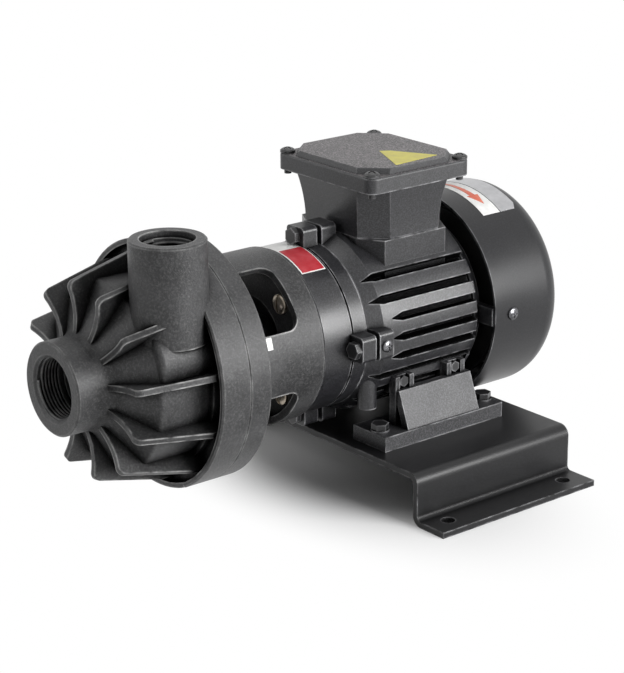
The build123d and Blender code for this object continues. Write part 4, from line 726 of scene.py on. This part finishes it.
class PUMP_OT_studio(bpy.types.Operator):
    """Pale floor, soft lamps and the camera"""
    bl_idname = "pump.studio"
    bl_label = "Studio"

    def execute(self, context):
        scene = context.scene
        # Camera place, turn and lens, fitted to the photograph's frame of 624 by 673 pixels
        camera_place = (1.0229, -0.8856, 0.5415)
        azimuth, elevation, roll = (math.radians(angle) for angle in (50.98, 17.99, -0.29))
        frame_height = 673
        lens_pixels = 2133.1
        shift_pixels = (-4.8, -28.2)
        back = Vector((math.cos(elevation) * math.sin(azimuth), -math.cos(elevation) * math.cos(azimuth),
                       math.sin(elevation)))
        right = Vector((math.cos(azimuth), math.sin(azimuth), 0))
        up = back.cross(right)
        right, up = right * math.cos(roll) + up * math.sin(roll), up * math.cos(roll) - right * math.sin(roll)
        turn = Matrix((right, up, back)).transposed().to_4x4()
        lens = bpy.data.cameras.new("camera")
        lens.sensor_width = 36.0
        lens.lens = lens_pixels * lens.sensor_width / frame_height
        lens.shift_x = shift_pixels[0] / frame_height
        lens.shift_y = shift_pixels[1] / frame_height
        camera = bpy.data.objects.new("camera", lens)
        camera.matrix_world = Matrix.Translation(camera_place) @ turn
        scene.collection.objects.link(camera)
        scene.camera = camera
        # Floor: lit by the lamps near the pump, where it keeps the shadow, and plain white further out
        floor_reach = 6.0
        mesh = bpy.data.meshes.new("floor")
        shape = bmesh.new()
        bmesh.ops.create_grid(shape, x_segments=1, y_segments=1, size=floor_reach)
        shape.to_mesh(mesh)
        shape.free()
        floor = bpy.data.objects.new("floor", mesh)
        scene.collection.objects.link(floor)
        # Matt floor paint: pale enough to keep a soft shadow
        made, tree, shader, place = material("studio_floor")
        shader.inputs["Base Color"].default_value = linear("#f4f4f4")
        shader.inputs["Roughness"].default_value = 0.9
        glow = add(tree, "ShaderNodeEmission", {"Color": (1, 1, 1, 1), "Strength": 1.0})
        # The shadow is kept in an oval round the base, longer across the pump than along it, and fades
        # to white from the first distance to the second
        oval_place = (0, 0.048, 0)
        oval_scale = (0.8, 1.6, 0)
        shadow_fades = (0.07, 0.19)
        oval = add(tree, "ShaderNodeMapping", {"Location": oval_place, "Scale": oval_scale},
                   {"Vector": place})
        far = add(tree, "ShaderNodeVectorMath", {"operation": "LENGTH"}, {0: oval.outputs["Vector"]})
        fade = add(tree, "ShaderNodeMapRange",
                   {"interpolation_type": "SMOOTHSTEP", "From Min": shadow_fades[0],
                    "From Max": shadow_fades[1]},
                   {"Value": far.outputs["Value"]})
        share = add(tree, "ShaderNodeMath", {"operation": "MULTIPLY"},
                    {0: seen(tree), 1: fade.outputs["Result"]})
        mix = add(tree, "ShaderNodeMixShader", {},
                  {0: share.outputs[0], 1: shader.outputs[0], 2: glow.outputs[0]})
        tree.links.new(mix.outputs[0], tree.nodes["Material Output"].inputs["Surface"])
        mesh.materials.append(made)
        # World: white where it is seen or mirrored, and a weak even light
        world = bpy.data.worlds.new("studio")
        world.use_nodes = True
        scene.world = world
        tree = world.node_tree
        soft = tree.nodes["Background"]
        soft.inputs["Color"].default_value = (1, 1, 1, 1)
        soft.inputs["Strength"].default_value = 0.2
        white = add(tree, "ShaderNodeBackground", {"Color": (1, 1, 1, 1), "Strength": 1.0})
        mix = add(tree, "ShaderNodeMixShader", {}, {0: seen(tree), 1: soft.outputs[0], 2: white.outputs[0]})
        tree.links.new(mix.outputs[0], tree.nodes["World Output"].inputs["Surface"])
        # Lamps: a strong low softbox to the right and behind, a weak one above and one from the front left,
        # each aimed at the middle of the pump
        pump_middle = Vector((0, -0.05, 0.1))
        for name, place, width, height, power in (
            ("right_softbox", (1.5, 0.5, 0.5), 1.1, 0.7, 40.0),
            ("top_softbox", (-0.2, 0.2, 1.6), 1.0, 1.0, 4.0),
            ("left_softbox", (-0.7, -1.4, 0.9), 1.0, 1.0, 8.0),
        ):
            lamp = bpy.data.lights.new(name, "AREA")
            lamp.shape = "RECTANGLE"
            lamp.size = width
            lamp.size_y = height
            lamp.energy = power
            holder = bpy.data.objects.new(name, lamp)
            aim = pump_middle - Vector(place)
            aimed = aim.to_track_quat("-Z", "Y").to_matrix().to_4x4()
            holder.matrix_world = Matrix.Translation(place) @ aimed
            scene.collection.objects.link(holder)
        scene.view_settings.view_transform = "Standard"
        return {"FINISHED"}


class PUMP_PT_panel(bpy.types.Panel):
    """Pump looks in the sidebar"""
    bl_label = "Pump looks"
    bl_idname = "PUMP_PT_panel"
    bl_space_type = "VIEW_3D"
    bl_region_type = "UI"
    bl_category = "Pump"

    def draw(self, context):
        for operator in operators:
            self.layout.operator(operator.bl_idname)


operators = (PUMP_OT_wet_end, PUMP_OT_motor, PUMP_OT_metal, PUMP_OT_threads, PUMP_OT_screws, PUMP_OT_labels,
             PUMP_OT_studio)
classes = (PumpColours, PumpSizes) + operators + (PUMP_PT_panel,)


def register():
    for item in classes:
        bpy.utils.register_class(item)
    bpy.types.Scene.pump_colours = bpy.props.PointerProperty(type=PumpColours)
    bpy.types.Scene.pump_sizes = bpy.props.PointerProperty(type=PumpSizes)


def unregister():
    del bpy.types.Scene.pump_sizes
    del bpy.types.Scene.pump_colours
    for item in reversed(classes):
        bpy.utils.unregister_class(item)


def main():
    """Run every operator in turn."""
    register()
    bpy.ops.pump.wet_end()
    bpy.ops.pump.motor()
    bpy.ops.pump.metal()
    bpy.ops.pump.threads()
    bpy.ops.pump.screws()
    bpy.ops.pump.labels()
    bpy.ops.pump.studio()


if __name__ == "__main__":
    main()
